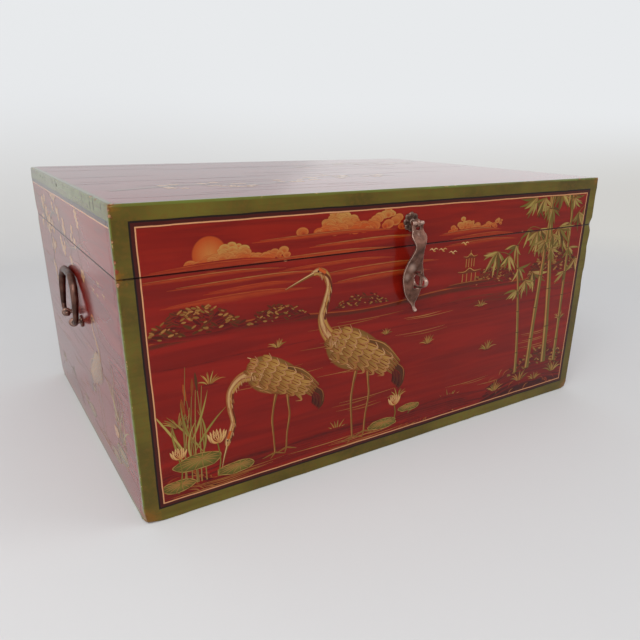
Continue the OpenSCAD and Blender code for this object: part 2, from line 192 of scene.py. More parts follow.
def makeWoodGroup():
    tree, given, out = newGroup(
        "Wood grain",
        {"Place": "Vector", "Squeeze": "Vector"}, {"Shade": "Float", "Pores": "Float"})
    stretched = vectorCalc(tree, "MULTIPLY", given["Place"], given["Squeeze"])
    bands = cloud(tree, stretched, 0.045, detail=2, distortion=0.4)
    rings = step(tree, calc(tree, "SINE", times(tree, bands, 62.0)), 1.1, -0.9)
    fibres = cloud(tree, stretched, 1.1, detail=4, roughness=0.7)
    feed(tree, out["Shade"], blend(tree, 0.6, rings, fibres, "FLOAT"))
    feed(tree, out["Pores"], step(tree, fibres, 0.5, 0.72))
    return tree


# Lacquer: olive border, dark lines and red field, rubbed through to the wood at the edges

lacquerLook = {
    "borderWidth": 13.4,
    "narrowBorder": 5.0,  # beside the ends' and the top's own edges
    "blackLine": 1.5,
    "margin": 3.1,
    "pinstripe": 1.1,
    "olive": srgb("#675c20"),
    "oliveDark": srgb("#4d4015"),
    "oliveBrown": srgb("#6a4d1c"),
    "oliveEnd": srgb("#61692a"),
    "scuff": srgb("#8a5518"),
    "black": srgb("#1d1210"),
    "marginRed": srgb("#42140f"),
    "cream": srgb("#c98f63"),
    "red": srgb("#83180e"),
    "redDeep": srgb("#6d130c"),
    "redWarm": srgb("#851a0d"),
    "chips": [  # places in mm, and how far each chip reaches
        (-300, -212, 287, 1.5), (-300, -212, 283, 1.9), (-300, -212, 263, 1.3), (-300, -212, 247, 1.2),
        (-300, -212, 240, 1.7), (-300, -212, 229, 2.2), (-300, -212, 205, 1.0), (-300, -212, 9, 1.6),
        (300, -212, 234, 2.6), (300, -212, 229, 2.0), (300, -212, 291, 2.2), (262, -212, 292, 1.4),
        (40, -212, 292, 1.3), (-296, -208, 292, 1.8), (-300, 212, 233, 2.4), (300, 212, 236, 2.6),
        (300, 212, 2, 3.6), (-300, 212, 3, 3.0), (300, -212, 2, 2.6), (300, 60, 292, 1.8),
        (-300, -150, 292, 1.6),
        (-120, 212, 292, 1.8), (-150, -212, 233, 1.2), (168, -212, 234, 1.1), (-300, -171, 292, 1.2),
    ],
    "scuffs": [(-300, -212, 5, 13), (300, -212, 3, 12), (-300, 212, 0, 14), (300, 212, 2, 15),
               (300, -212, 292, 9),
               (-300, -212, 290, 7), (-300, -212, 234, 7)],
    "cracks": [  # places with the height divided by 5, and half the width of each crack
        (-300, 152, 57.7, 0.5), (-300, 97, 57.4, 0.8), (-300, 89, 57.1, 0.5), (-300, 46, 57.6, 0.6),
        (-300, 38, 57.3, 0.8), (-300, 20, 57.5, 1.2), (-300, -26, 57.8, 0.6), (-300, -71, 57.2, 0.8),
        (-300, -79, 57.6, 0.5), (-300, -116, 57.4, 1.0), (-300, -127, 57.7, 0.6), (-300, -148, 57.1, 0.9),
        (-300, -161, 57.4, 1.1), (-300, -189, 57.7, 0.6), (300, -151, 57.4, 0.9), (300, -143, 57.7, 0.6),
        (300, -58, 57.2, 1.0), (300, 33, 57.5, 0.8), (300, 47, 57.8, 0.6), (300, 128, 57.3, 1.0),
    ],
    "holes": [(-300, 126, 287, 1.5), (-300, 108, 286, 1.3), (-300, 14, 286, 1.9), (-40, 70, 292, 1.2)],
}


def nearest(tree, place, spots, ragged):
    # Distance in mm to the edge of the nearest spot, with a ragged outline
    best = None
    for x, y, z, reach in spots:
        gap = minus(tree, vectorCalc(tree, "DISTANCE", place, (x, y, z)), reach)
        best = gap if best is None else least(tree, best, gap)
    return plus(tree, best, ragged)


def makeLacquerGroup():
    look = lacquerLook
    tree, given, out = newGroup(
        "Lacquer",
        {"Place": "Vector"}, {"Colour": "Color", "Roughness": "Float", "Height": "Float", "Varnish": "Float"})
    place = scaled(tree, given["Place"], 1 / mm)
    x, y, z = split(tree, place)
    fromSide = minus(tree, halfWidth, absolute(tree, x))
    fromFront = minus(tree, halfDepth, absolute(tree, y))
    fromTop = minus(tree, chestHeight, z)
    fromEnd = least(tree, z, fromTop)
    low = least(tree, fromSide, fromFront)
    high = most(tree, fromSide, fromFront)
    inward = least(tree, low, fromEnd)
    border = most(tree, low, least(tree, high, fromEnd))
    seam = absolute(tree, minus(tree, z, seamHeight))

    # Brush marks run level on the walls, and along the chest on its top
    onTop = below(tree, fromTop, 2.5)
    onEnd = below(tree, fromSide, 1.0)
    onWalls = vectorCalc(tree, "MULTIPLY", place, (0.014, 0.014, 0.17))
    alongTop = vectorCalc(tree, "MULTIPLY", place, (0.014, 0.17, 0.014))
    brushed = blend(tree, onTop, onWalls, alongTop, "VECTOR")
    streaks = cloud(tree, brushed, 1.0, detail=3, roughness=0.55, distortion=0.5)
    broad = cloud(tree, brushed, 0.4, detail=2, distortion=0.8)
    blotch = cloud(tree, place, 0.012, detail=3)
    ragged = cloud(tree, place, 0.22, detail=4, roughness=0.65)
    coarse = cloud(tree, place, 0.035, detail=2)

    # Red field, warmer in the upper part and deeper low down
    warmth = step(tree, z, 150.0, 285.0)
    field = blend(tree, step(tree, broad, 0.3, 0.72), look["redDeep"], look["red"])
    field = blend(tree, times(tree, warmth, step(tree, streaks, 0.35, 0.7)), field, look["redWarm"])
    depth = times(tree, step(tree, z, 150.0, 20.0), step(tree, streaks, 0.4, 0.7))
    field = blend(tree, times(tree, depth, 0.18), field, look["marginRed"])
    field = blend(tree, times(tree, step(tree, blotch, 0.45, 0.8), 0.6), field, look["redDeep"])

    # Border, its lines and the pinstripe, by hand and so a little uneven
    wobble = times(tree, minus(tree, coarse, 0.5), 1.3)
    full = 24.0
    lineIn = look["borderWidth"] + look["blackLine"]
    stripeIn = lineIn + look["margin"]
    stripeOut = stripeIn + look["pinstripe"]
    spare = look["borderWidth"] - look["narrowBorder"]
    endBorder = least(tree, fromTop, plus(tree, least(tree, fromFront, z), spare))
    oliveGap = blend(tree, onEnd, border, endBorder, "FLOAT")
    oliveGap = plus(tree, blend(tree, onTop, oliveGap, plus(tree, low, spare), "FLOAT"), wobble)
    lineGap = blend(tree, onTop, blend(tree, onEnd, border, fromTop, "FLOAT"), full, "FLOAT")
    lineGap = plus(tree, lineGap, wobble)
    olive = blend(tree, step(tree, blotch, 0.3, 0.7), look["oliveDark"], look["olive"])
    olive = blend(tree, times(tree, step(tree, ragged, 0.42, 0.68), 0.5), olive, look["oliveBrown"])
    olive = blend(tree, times(tree, step(tree, streaks, 0.4, 0.7), 0.35), olive, look["oliveDark"])
    aside = times(tree, most(tree, onEnd, onTop), step(tree, streaks, 0.75, 0.35))
    olive = blend(tree, aside, olive, look["oliveEnd"])
    lines = colourSteps(tree, calc(tree, "DIVIDE", lineGap, full), [
        (0.0, look["black"]), (lineIn / full, look["black"]), ((lineIn + 0.4) / full, look["marginRed"]),
        (stripeIn / full, look["marginRed"]), ((stripeIn + 0.25) / full, look["cream"]),
        (1.0, look["cream"])])
    rubbed = step(tree, streaks, 0.66, 0.76)
    lines = blend(tree, times(tree, rubbed, 0.5), lines, look["marginRed"])
    colour = blend(tree, step(tree, lineGap, stripeOut, stripeOut + 0.3), lines, field)
    colour = blend(tree, step(tree, oliveGap, look["borderWidth"], look["borderWidth"] + 0.3), olive, colour)

    # Painted shade along the seam between lid and case, then chips and rubbed edges that show the wood
    seamShade = times(tree, step(tree, seam, 1.5, 0.3), 0.75)
    colour = blend(tree, seamShade, colour, look["black"])
    scuffGap = nearest(tree, place, look["scuffs"], timesPlus(tree, ragged, 26.0, -13.0))
    colour = blend(tree, times(tree, step(tree, scuffGap, 3.0, -6.0), 0.55), colour, look["scuff"])
    chipGap = nearest(tree, place, look["chips"], timesPlus(tree, ragged, 9.0, -4.5))
    chipped = step(tree, chipGap, 0.3, -0.3)
    wear = timesPlus(tree, ragged, 5.2, -2.9)
    wear = plus(tree, wear, times(tree, minus(tree, coarse, 0.5), 3.0))
    rubbedEdge = step(tree, minus(tree, border, wear), 0.25, -0.25)
    seamEdge = step(tree, minus(tree, seam, timesPlus(tree, ragged, 6.0, -4.1)), 0.2, -0.2)
    bare = most(tree, chipped, most(tree, rubbedEdge, seamEdge))
    endBoard = below(tree, fromSide, boardThick + 0.2)
    along = blend(tree, endBoard, woodLook["alongX"], woodLook["alongY"], "VECTOR")
    grain = useGroup(tree, woodGroup, Place=place, Squeeze=along)
    chipWood = blend(tree, step(tree, ragged, 0.4, 0.6), woodLook["chipDark"], woodLook["chipLight"])
    colour = blend(tree, bare, colour, chipWood)
    dirtyRim = times(tree, step(tree, chipGap, 0.9, 0.1), minus(tree, 1.0, bare))
    colour = blend(tree, times(tree, dirtyRim, 0.5), colour, look["marginRed"])

    # End grain on the top panel's ends: short cracks and a few old nail holes
    panel = times(tree, onEnd, below(tree, fromTop, boardThick))
    tall = vectorCalc(tree, "MULTIPLY", place, (1.0, 1.0, 0.2))
    crackGap = nearest(tree, tall, look["cracks"], timesPlus(tree, ragged, 1.4, -0.7))
    cracked = times(tree, panel, step(tree, crackGap, 0.25, -0.25))
    colour = blend(tree, times(tree, cracked, 0.85), colour, look["black"])
    holeGap = nearest(tree, place, look["holes"], timesPlus(tree, ragged, 2.0, -1.0))
    hole = step(tree, holeGap, 0.25, -0.25)
    colour = blend(tree, hole, colour, look["black"])

    # Faces that lie further in than the paint wraps over are bare boards
    wrap = timesPlus(tree, ragged, 3.0, 1.6)
    inner = step(tree, minus(tree, inward, wrap), -0.2, 0.3)
    plain = blend(tree, grain["Shade"], woodLook["dark"], woodLook["light"])
    colour = blend(tree, inner, colour, plain)
    bare = most(tree, bare, inner)
    feed(tree, out["Colour"], colour)

    matt = most(tree, bare, most(tree, hole, times(tree, cracked, 0.7)))
    varnish = minus(tree, 1.0, matt)
    feed(tree, out["Varnish"], varnish)
    gloss = timesPlus(tree, streaks, 0.1, 0.3)
    feed(tree, out["Roughness"], blend(tree, bare, gloss, 0.72, "FLOAT"))
    relief = times(tree, streaks, 0.02)
    relief = plus(tree, relief, times(tree, varnish, 0.22))
    relief = plus(tree, relief, times(tree, plus(tree, cracked, hole), -0.5))
    relief = plus(tree, relief, times(tree, grain["Pores"], times(tree, bare, -0.15)))
    feed(tree, out["Height"], relief)
    return tree


def finishVarnish(shader):
    shader.inputs["Coat Roughness"].default_value = 0.13
    shader.inputs["Coat IOR"].default_value = 1.26
    shader.inputs["Specular IOR Level"].default_value = 0.02


def makeLacquerMaterial():
    material, tree, shader, place = newMaterial("Lacquered board")
    lacquer = useGroup(tree, lacquerGroup, Place=place)
    feed(tree, shader.inputs["Base Color"], lacquer["Colour"])
    feed(tree, shader.inputs["Roughness"], lacquer["Roughness"])
    feed(tree, shader.inputs["Coat Weight"], lacquer["Varnish"])
    finishVarnish(shader)
    feed(tree, shader.inputs["Normal"], bump(tree, lacquer["Height"], 0.6))
    return material


def makeBareWoodMaterial():
    material, tree, shader, place = newMaterial("Bare board")
    grain = useGroup(tree, woodGroup, Place=scaled(tree, place, 1 / mm), Squeeze=woodLook["alongX"])
    feed(tree, shader.inputs["Base Color"], blend(tree, grain["Shade"], woodLook["dark"], woodLook["light"]))
    feed(tree, shader.inputs["Roughness"], timesPlus(tree, grain["Pores"], 0.15, 0.62))
    feed(tree, shader.inputs["Normal"], bump(tree, times(tree, grain["Pores"], -0.2), 0.6))
    return material


# Iron: hammered flats, brown patina, painted highlights on the edges and on spots that are partly rubbed
# bright, and painted shade on a few spots

ironLook = {
    # places in mm and how far each reaches before it fades
    # The first list holds spots rubbed bright and spots of painted highlight, the second spots of painted
    # shade
    "rubbed": [(-4, -229, 166, 1.5), (-8, -221, 212, -0.5), (-13, -221, 203, -2.0), (-5, -226, 247, -5.3),
               (1, -234, 198, 1.5)],
    "paintedShade": [(-2, -229, 231, 2.0), (2, -222, 216, 0.5), (-2, -221, 186, 1.0)],
    "fade": 8.0,
}


def makeIronGroup():
    tree, given, out = newGroup(
        "Forged iron",
        {"Place": "Vector", "Hammer": "Float"},
        {"Patina": "Float", "Dust": "Float", "RubbedAndHighlight": "Float", "PaintedShade": "Float", "Height": "Float"})
    place = scaled(tree, given["Place"], 1 / mm)
    flats = addNode(tree, "ShaderNodeTexVoronoi", {"Vector": place, "Scale": 0.21}, feature="SMOOTH_F1")
    flats.inputs["Smoothness"].default_value = 0.6
    pits = cloud(tree, place, 1.4, detail=5, roughness=0.7)
    drift = cloud(tree, place, 0.11, detail=3)
    feed(tree, out["Patina"], blend(tree, 0.25, step(tree, drift, 0.35, 0.7), pits, "FLOAT"))
    # Masks of the rubbed spots with their painted highlights, and of the spots of painted shade
    for name, spots in (("RubbedAndHighlight", ironLook["rubbed"]), ("PaintedShade", ironLook["paintedShade"])):
        gap = nearest(tree, place, spots, timesPlus(tree, drift, 4.0, -2.0))
        feed(tree, out[name], step(tree, gap, ironLook["fade"], 0.0))
    feed(tree, out["Dust"], step(tree, pits, 0.56, 0.72))
    hammered = times(tree, flats.outputs["Distance"], given["Hammer"])
    feed(tree, out["Height"], minus(tree, hammered, times(tree, pits, 0.07)))
    return tree


def makeIronMaterial(name, dark, light, dustAndHighlight, hammer, roughness, highlightAmount):
    material, tree, shader, place = newMaterial(name)
    iron = useGroup(tree, ironGroup, Place=place, Hammer=hammer)
    colour = blend(tree, iron["Patina"], dark, light)
    colour = blend(tree, times(tree, iron["Dust"], 0.15), colour, dustAndHighlight)
    # Painted shade: darker colour on the listed shade spots
    colour = blend(tree, times(tree, iron["PaintedShade"], 0.5), colour, dark)
    # Painted highlight: paler colour on sharp edges, found by pointiness, and on the rubbed spots
    rim = step(tree, tree.nodes.new("ShaderNodeNewGeometry").outputs["Pointiness"], 0.508, 0.56)
    rim = most(tree, rim, times(tree, iron["RubbedAndHighlight"], 0.75))
    colour = blend(tree, times(tree, rim, highlightAmount), colour, dustAndHighlight)
    feed(tree, shader.inputs["Base Color"], colour)
    rough = timesPlus(tree, iron["Patina"], 0.18, roughness)
    feed(tree, shader.inputs["Roughness"], minus(tree, rough, times(tree, rim, 0.12)))
    shader.inputs["Metallic"].default_value = 0.85
    feed(tree, shader.inputs["Normal"], bump(tree, iron["Height"], 0.5))
    return material


woodGroup = makeWoodGroup()
lacquerGroup = makeLacquerGroup()
ironGroup = makeIronGroup()
lacqueredBoard = makeLacquerMaterial()
bareBoard = makeBareWoodMaterial()
wroughtIron = makeIronMaterial("Wrought iron", srgb("#4a2f25"), srgb("#906656"), srgb("#dcbcab"), 0.8, 0.34,
                               0.8)
handleIron = makeIronMaterial("Handle iron", srgb("#2f1d18"), srgb("#6a473b"), srgb("#b08d7e"), 0.8, 0.3,
                              0.25)
rosetteIron = makeIronMaterial("Rosette iron", srgb("#3f2b23"), srgb("#785849"), srgb("#b89c8c"), 0.8, 0.36,
                               0.5)
hingeIron = makeIronMaterial("Hinge iron", srgb("#34302d"), srgb("#5c534d"), srgb("#6b4a38"), 0.15, 0.45, 0.2)
print("materials made")


# Finished pieces

def smoothLine(points, steps):
    # Points of a smooth curve through all the given ones
    points = [Vector(p) for p in points]
    line = []
    for i in range(len(points) - 1):
        a, b = points[max(i - 1, 0)], points[i]
        c, d = points[i + 1], points[min(i + 2, len(points) - 1)]
        for k in range(steps):
            t = k / steps
            line.append(0.5 * (2 * b + (c - a) * t + (2 * a - 5 * b + 4 * c - d) * t * t
                               + (3 * b - a - 3 * c + d) * t ** 3))
    line.append(points[-1])
    return line


def smoothShade(mesh):
    mesh.polygons.foreach_set("use_smooth", [True] * len(mesh.polygons))


def addPiece(name, mesh, material, body, nodes=()):
    if not mesh.materials:
        mesh.materials.append(material)
    mesh.update()
    piece = bpy.data.objects.new(name, mesh)
    bpy.context.scene.collection.objects.link(piece)
    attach(piece, body)
    if nodes:
        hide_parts(*nodes)
    return piece


def meshFrom(bm, name):
    mesh = bpy.data.meshes.new(name)
    bm.to_mesh(mesh)
    bm.free()
    return mesh


# Boards

boardLook = {
    "step": 7.0,       # distance between cuts along a board
    "outer": 1.5,      # rounding of the worn outer edges
    "seam": 0.7,       # rounding beside the lid's seam
    "joint": 0.12,     # rounding where boards meet
    "inner": 0.4,      # rounding of edges inside the chest
    "topDrop": 0.25,   # room over the top board for the paint
    "dents": [         # place in mm, reach and depth
        (-300, -212, 0, 15, 3.4), (300, -212, 233, 6, 3.0), (300, -212, 163, 18, 1.1),
        (300, -212, 205, 12, 0.9), (-300, -212, 292, 8, 1.5), (-300, -212, 269, 5, 1.1),
        (-300, -212, 239, 5, 1.3), (-300, -212, 226, 6, 1.2), (300, -212, 292, 7, 1.0),
        (300, -212, 0, 9, 1.8), (-300, 212, 0, 10, 2.2), (300, 212, 0, 12, 2.6), (300, 212, 292, 8, 1.4),
        (-300, 212, 292, 7, 1.2), (-300, 212, 233, 6, 1.5), (120, -212, 0, 12, 0.9), (-90, 212, 292, 9, 0.9),
    ],
}


def cutsAlong(low, high, softLow, softHigh, longStep):
    # Close cuts over both rounded ends and even ones between
    shares = (0.0, 0.12, 0.3, 0.55, 0.8, 1.0)
    inLow = max(softLow, 0.3) * 1.6
    inHigh = max(softHigh, 0.3) * 1.6
    cuts = [low + inLow * share for share in shares]
    count = max(1, round((high - low - inLow - inHigh) / longStep))
    for i in range(1, count):
        cuts.append(low + inLow + (high - low - inLow - inHigh) * i / count)
    cuts += [high - inHigh * share for share in reversed(shares)]
    return cuts


def rounded(point, low, high, soft):
    # Moves a point of a box's skin onto its rounded edges; soft has a radius for each of the six faces
    gaps = []
    for axis in range(3):
        toLow = point[axis] - low[axis]
        toHigh = high[axis] - point[axis]
        side = 0 if toLow < toHigh else 1
        gaps.append((min(toLow, toHigh), soft[2 * axis + side], 1 if side == 0 else -1))
    order = sorted(range(3), key=lambda axis: gaps[axis][0])
    first, second, third = order
    radius = min(gaps[first][1], gaps[second][1])
    wander = 1 + 0.45 * noise.noise(Vector(point) * 0.045) + 0.2 * noise.noise(Vector(point) * 0.21)
    radius *= wander if radius > boardLook["joint"] else 1
    corner = [max(0.0, radius - gaps[axis][0]) for axis in (first, second)]
    axes = [first, second]
    if gaps[third][0] < min(radius, gaps[third][1]):
        corner.append(min(radius, gaps[third][1]) - gaps[third][0])
        axes.append(third)
    length = math.sqrt(sum(c * c for c in corner))
    moved = list(point)
    if length > radius > 0 and corner[1] > 0:
        for axis, c in zip(axes, corner):
            moved[axis] += gaps[axis][2] * (c - c * radius / length)
    return Vector(moved)


def dented(point):
    inwards = Vector((-math.copysign(1, point.x), -math.copysign(1, point.y), 0))
    for x, y, z, reach, depth in boardLook["dents"]:
        gap = (point - Vector((x, y, z))).length
        if gap < reach:
            ragged = 0.75 + 0.5 * noise.noise(point * 0.35)
            push = depth * ragged * (1 - (gap / reach) ** 2) ** 2
            way = inwards.copy()
            if z < 20:
                way.z = 1
            elif z > chestHeight - 5:
                way.z = -1
            point = point + way.normalized() * push
    return point


def makeBoard(name, body, material, soft, longStep=boardLook["step"]):
    low, high = (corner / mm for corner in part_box(name))
    high.z -= boardLook["topDrop"] if name == "lid_top_panel" else 0
    cuts = [cutsAlong(low[a], high[a], soft[2 * a], soft[2 * a + 1], longStep) for a in range(3)]
    last = [len(c) - 1 for c in cuts]
    bm = bmesh.new()
    verts = {}

    def vert(i, j, k):
        if (i, j, k) not in verts:
            point = (cuts[0][i], cuts[1][j], cuts[2][k])
            verts[i, j, k] = bm.verts.new(dented(rounded(point, low, high, soft)) * mm)
        return verts[i, j, k]

    def skin(a, b, fixed, side):
        # One face of the box: a and b are its axes, fixed is the axis across it
        for i in range(last[a]):
            for j in range(last[b]):
                ring = []
                for di, dj in ((0, 0), (1, 0), (1, 1), (0, 1)):
                    index = [0, 0, 0]
                    index[a], index[b], index[fixed] = i + di, j + dj, side
                    ring.append(vert(*index))
                bm.faces.new(ring if side else reversed(ring))

    skin(0, 1, 2, 0)
    skin(0, 1, 2, last[2])
    skin(1, 2, 0, 0)
    skin(1, 2, 0, last[0])
    skin(2, 0, 1, 0)
    skin(2, 0, 1, last[1])
    mesh = meshFrom(bm, name)
    smoothShade(mesh)
    addPiece(name.replace("_", "-"), mesh, material, body, [name])


def makeBoards():
    outer, seam, joint, inner = (boardLook[key] for key in ("outer", "seam", "joint", "inner"))
    # Radii at the faces -x, +x, -y, +y, -z and +z
    for where, zLow, zHigh, body in (("case", outer, seam, "case"), ("lid", seam, joint, "lid")):
        long = "board" if where == "case" else "rail"
        ends = "end" if where == "case" else "rail"
        makeBoard(f"{where}_front_{long}", body, lacqueredBoard,
                  (outer, outer, outer, inner, zLow, zHigh))
        makeBoard(f"{where}_back_{long}", body, lacqueredBoard,
                  (outer, outer, inner, outer, zLow, zHigh))
        makeBoard(f"{where}_left_{ends}", body, lacqueredBoard,
                  (outer, inner, joint, joint, zLow, zHigh))
        makeBoard(f"{where}_right_{ends}", body, lacqueredBoard,
                  (inner, outer, joint, joint, zLow, zHigh))
    makeBoard("lid_top_panel", "lid", lacqueredBoard,
              (outer, outer, outer, outer, joint, outer))
    makeBoard("case_bottom_panel", "case", bareBoard, (joint, joint, joint, joint, inner, inner),
              14.0)


makeBoards()
print("boards made")


# Shapes that several pieces share

def arcPoints(centre, radius, fromAngle, toAngle, steps):
    angles = [math.radians(fromAngle + (toAngle - fromAngle) * i / steps) for i in range(steps + 1)]
    return [(centre[0] + radius * math.cos(a), centre[1] + radius * math.sin(a)) for a in angles]


def lathe(bm, profile, axis, sides=40):
    # Turns a list of (distance along, radius) about the given matrix's Z axis
    rings = []
    for along, radius in profile:
        rings.append([bm.verts.new(axis @ Vector((radius * math.cos(2 * math.pi * k / sides),
                                                  radius * math.sin(2 * math.pi * k / sides), along)))
                      for k in range(sides)])
    for low, high in zip(rings, rings[1:]):
        for k in range(sides):
            bm.faces.new((low[k], low[(k + 1) % sides], high[(k + 1) % sides], high[k]))
    bm.faces.new(reversed(rings[0]))
    bm.faces.new(rings[-1])


def roundedRod(length, radius, edge):
    # Profile of a rod with rounded rims, for lathe
    rim = [(edge * (1 - math.cos(math.radians(a))), radius - edge * (1 - math.sin(math.radians(a))))
           for a in (0, 22, 45, 68, 90)]
    return rim + [(length - along, r) for along, r in reversed(rim)]


def sharpen(mesh, degrees=38):
    smoothShade(mesh)
    mesh.set_sharp_from_angle(angle=math.radians(degrees))


# Wires and rods follow a path, and their trees sweep a section along it

hammerInputs = {"Hammer depth": "Float", "Hammer grain": "Float", "Iron": "Material"}


def newShape(name, inputs):
    return newGroup(name, {**inputs, **hammerInputs}, {"Mesh": "Geometry"}, "GeometryNodeTree")


def hammeredFinish(tree, geometry, given, out):
    # Pushes the surface in and out a little, then gives it the iron and closes the tree
    marks = addNode(tree, "ShaderNodeTexNoise", {
        "Vector": addNode(tree, "GeometryNodeInputPosition"), "Scale": given["Hammer grain"], "Detail": 2.0})
    push = times(tree, minus(tree, marks.outputs["Fac"], 0.62), given["Hammer depth"])
    facing = addNode(tree, "GeometryNodeInputNormal")
    moved = addNode(tree, "GeometryNodeSetPosition", {"Geometry": geometry,
                                                      "Offset": scaled(tree, facing, push)})
    real = addNode(tree, "GeometryNodeRealizeInstances", {0: moved})
    finish = addNode(tree, "GeometryNodeSetMaterial", {"Geometry": real, "Material": given["Iron"]})
    feed(tree, out["Mesh"], finish)


def joined(tree, *parts):
    node = addNode(tree, "GeometryNodeJoinGeometry")
    for part in parts:
        feed(tree, node.inputs[0], part)
    return node


def makeWireTree():
    # Half-round wire: the flat side lies on the path, and the round side to the right of it
    tree, given, out = newShape("Half-round wire", {"Path": "Geometry", "Wire radius": "Float"})
    section = addNode(tree, "GeometryNodeCurveArc", mode="RADIUS")
    for name, value in (("Resolution", 14), ("Start Angle", -math.pi / 2), ("Sweep Angle", math.pi),
                        ("Radius", given["Wire radius"])):
        feed(tree, section.inputs[name], value)
    closed = addNode(tree, "GeometryNodeSetSplineCyclic", {"Cyclic": True, 0: section})
    upright = addNode(tree, "GeometryNodeSetCurveNormal", {"Curve": given["Path"]}, mode="Z_UP")
    sweep = addNode(tree, "GeometryNodeCurveToMesh", {"Fill Caps": True, "Curve": upright,
                                                      "Profile Curve": closed})
    hammeredFinish(tree, sweep, given, out)
    return tree


def makeBailTree():
    # Round rod whose thickness follows the path's own radius, with a knob on each end
    tree, given, out = newShape("Forged bail", {"Path": "Geometry", "Sides": "Int", "Knob radius": "Float"})
    section = addNode(tree, "GeometryNodeCurvePrimitiveCircle", {"Radius": 1.0, "Resolution": given["Sides"]})
    sweep = addNode(tree, "GeometryNodeCurveToMesh", {
        "Fill Caps": True, "Curve": given["Path"], "Profile Curve": section,
        "Scale": addNode(tree, "GeometryNodeInputRadius")})
    knob = addNode(tree, "GeometryNodeMeshUVSphere", {"Segments": 24, "Rings": 14,
                                                      "Radius": given["Knob radius"]})
    knobs = addNode(tree, "GeometryNodeInstanceOnPoints", {
        "Points": given["Path"], "Selection": addNode(tree, "GeometryNodeCurveEndpointSelection"),
        "Instance": knob})
    loose = addNode(tree, "GeometryNodeRealizeInstances", {0: knobs})
    hammeredFinish(tree, joined(tree, loose, sweep), given, out)
    return tree


def makeRosetteTree():
    # Domed petals in a ring on a low disc, all flat underneath
    tree, given, out = newShape("Scalloped rosette", {
        "Base": "Geometry", "Petals": "Int", "Ring radius": "Float", "Petal radius": "Float",
        "Petal height": "Float", "Disc height": "Float"})
    ring = addNode(tree, "GeometryNodeMeshCircle", {"Vertices": given["Petals"],
                                                    "Radius": given["Ring radius"]})
    ball = addNode(tree, "GeometryNodeMeshUVSphere", {"Segments": 28, "Rings": 20, "Radius": 1.0})
    petalSize, discSize = (addNode(tree, "ShaderNodeCombineXYZ", {
        0: given[wide], 1: given[wide], 2: given[tall]}) for wide, tall in (
            ("Petal radius", "Petal height"), ("Ring radius", "Disc height")))
    petals = addNode(tree, "GeometryNodeInstanceOnPoints",
                     {"Points": ring, "Instance": ball, "Scale": petalSize})
    disc = addNode(tree, "GeometryNodeTransform", {"Geometry": ball, "Scale": discSize})
    loose = addNode(tree, "GeometryNodeRealizeInstances", {0: petals})
    whole = joined(tree, loose, disc, given["Base"])
    spot = addNode(tree, "GeometryNodeInputPosition").outputs[0]
    above = vectorCalc(tree, "MAXIMUM", spot, (-1.0, -1.0, 0.00005))
    flat = addNode(tree, "GeometryNodeSetPosition", {"Geometry": whole, "Position": above})
    hammeredFinish(tree, flat, given, out)
    return tree


def pathCurve(name, points, radii=None):
    # Path in mm becomes an open curve in metres
    data = bpy.data.curves.new(name, "CURVE")
    data.dimensions = "3D"
    spline = data.splines.new("POLY")
    spline.points.add(len(points) - 1)
    for i, (point, place) in enumerate(zip(spline.points, points)):
        point.co = (place[0] * mm, place[1] * mm, 0.0, 1.0)
        point.radius = (radii[i] if radii else 1.0) * mm
    return data


def growFrom(data, tree, inputs, name):
    # Runs a tree on a curve or mesh and keeps its result as a plain mesh
    carrier = bpy.data.objects.new(name + "-carrier", data)
    bpy.context.scene.collection.objects.link(carrier)
    modifier = carrier.modifiers.new("tree", "NODES")
    modifier.node_group = tree
    for item in tree.interface.items_tree:
        if item.item_type == "SOCKET" and item.in_out == "INPUT" and item.name in inputs:
            modifier[item.identifier] = inputs[item.name]
    carrier.update_tag()
    graph = bpy.context.evaluated_depsgraph_get()
    mesh = bpy.data.meshes.new_from_object(carrier.evaluated_get(graph), depsgraph=graph)
    mesh.name = name
    carrier.modifiers.clear()
    bpy.data.objects.remove(carrier)
    return mesh


def joinMeshes(name, meshes):
    bm = bmesh.new()
    for mesh in meshes:
        bm.from_mesh(mesh)
    joined = meshFrom(bm, name)
    joined.materials.append(meshes[0].materials[0])
    return joined


# Cotter pins: half-round wire bent into an eye, a neck and two legs, clinched inside the board

cotterLook = {
    "legGap": 0.2,
    "clinchRadius": 0.6,
    "legLength": 11.0,
    "neckEase": 0.3,
    "hammerDepth": 0.25,
    "hammerGrain": 260.0,
    "eye": {"inner": 2.45, "wire": 1.8},
    "staple": {"inner": 5.9, "wire": 2.2, "lift": 0.2},
    "grip": {"inner": 2.75, "wire": 2.3},
}


def cotterPath(inner, wire, reach, draw):
    # Path of one bent wire; the far half of its eye is drawn out by a factor, draw
    look = cotterLook
    neckRadius = wire + look["neckEase"]
    neckX = look["legGap"] / 2 + neckRadius
    neckY = math.sqrt((inner + neckRadius) ** 2 - neckX ** 2)
    neckAngle = math.degrees(math.atan2(neckX, neckY))
    clinchX = look["legGap"] / 2 + wire + look["clinchRadius"]
    half = [(clinchX + look["legLength"], reach + wire + look["clinchRadius"])]
    half += arcPoints((clinchX, reach), wire + look["clinchRadius"], 90, 180, 8)
    half += arcPoints((neckX, neckY), neckRadius, 180, 270 - neckAngle, 10)
    half += [(x, y * draw if y < 0 else y) for x, y in arcPoints((0, 0), inner, 90 - neckAngle, -90, 40)[1:]]
    line = half + [(-x, y) for x, y in reversed(half[:-1])]
    return list(reversed(line))


def makeCotter(name, kind, reach, toChest, draw=1.0):
    look = cotterLook
    mesh = growFrom(pathCurve(name, cotterPath(look[kind]["inner"], look[kind]["wire"], reach, draw)),
                    wireTree, {
        "Wire radius": look[kind]["wire"] * mm, "Hammer depth": look["hammerDepth"] * mm,
        "Hammer grain": look["hammerGrain"], "Iron": wroughtIron}, name)
    mesh.transform(toChest)
    sharpen(mesh, 50)
    return mesh


def placed(x, y, z):
    return Matrix.Translation(Vector((x, y, z)) * mm)


def spun(degrees, axis):
    return Matrix.Rotation(math.radians(degrees), 4, axis)


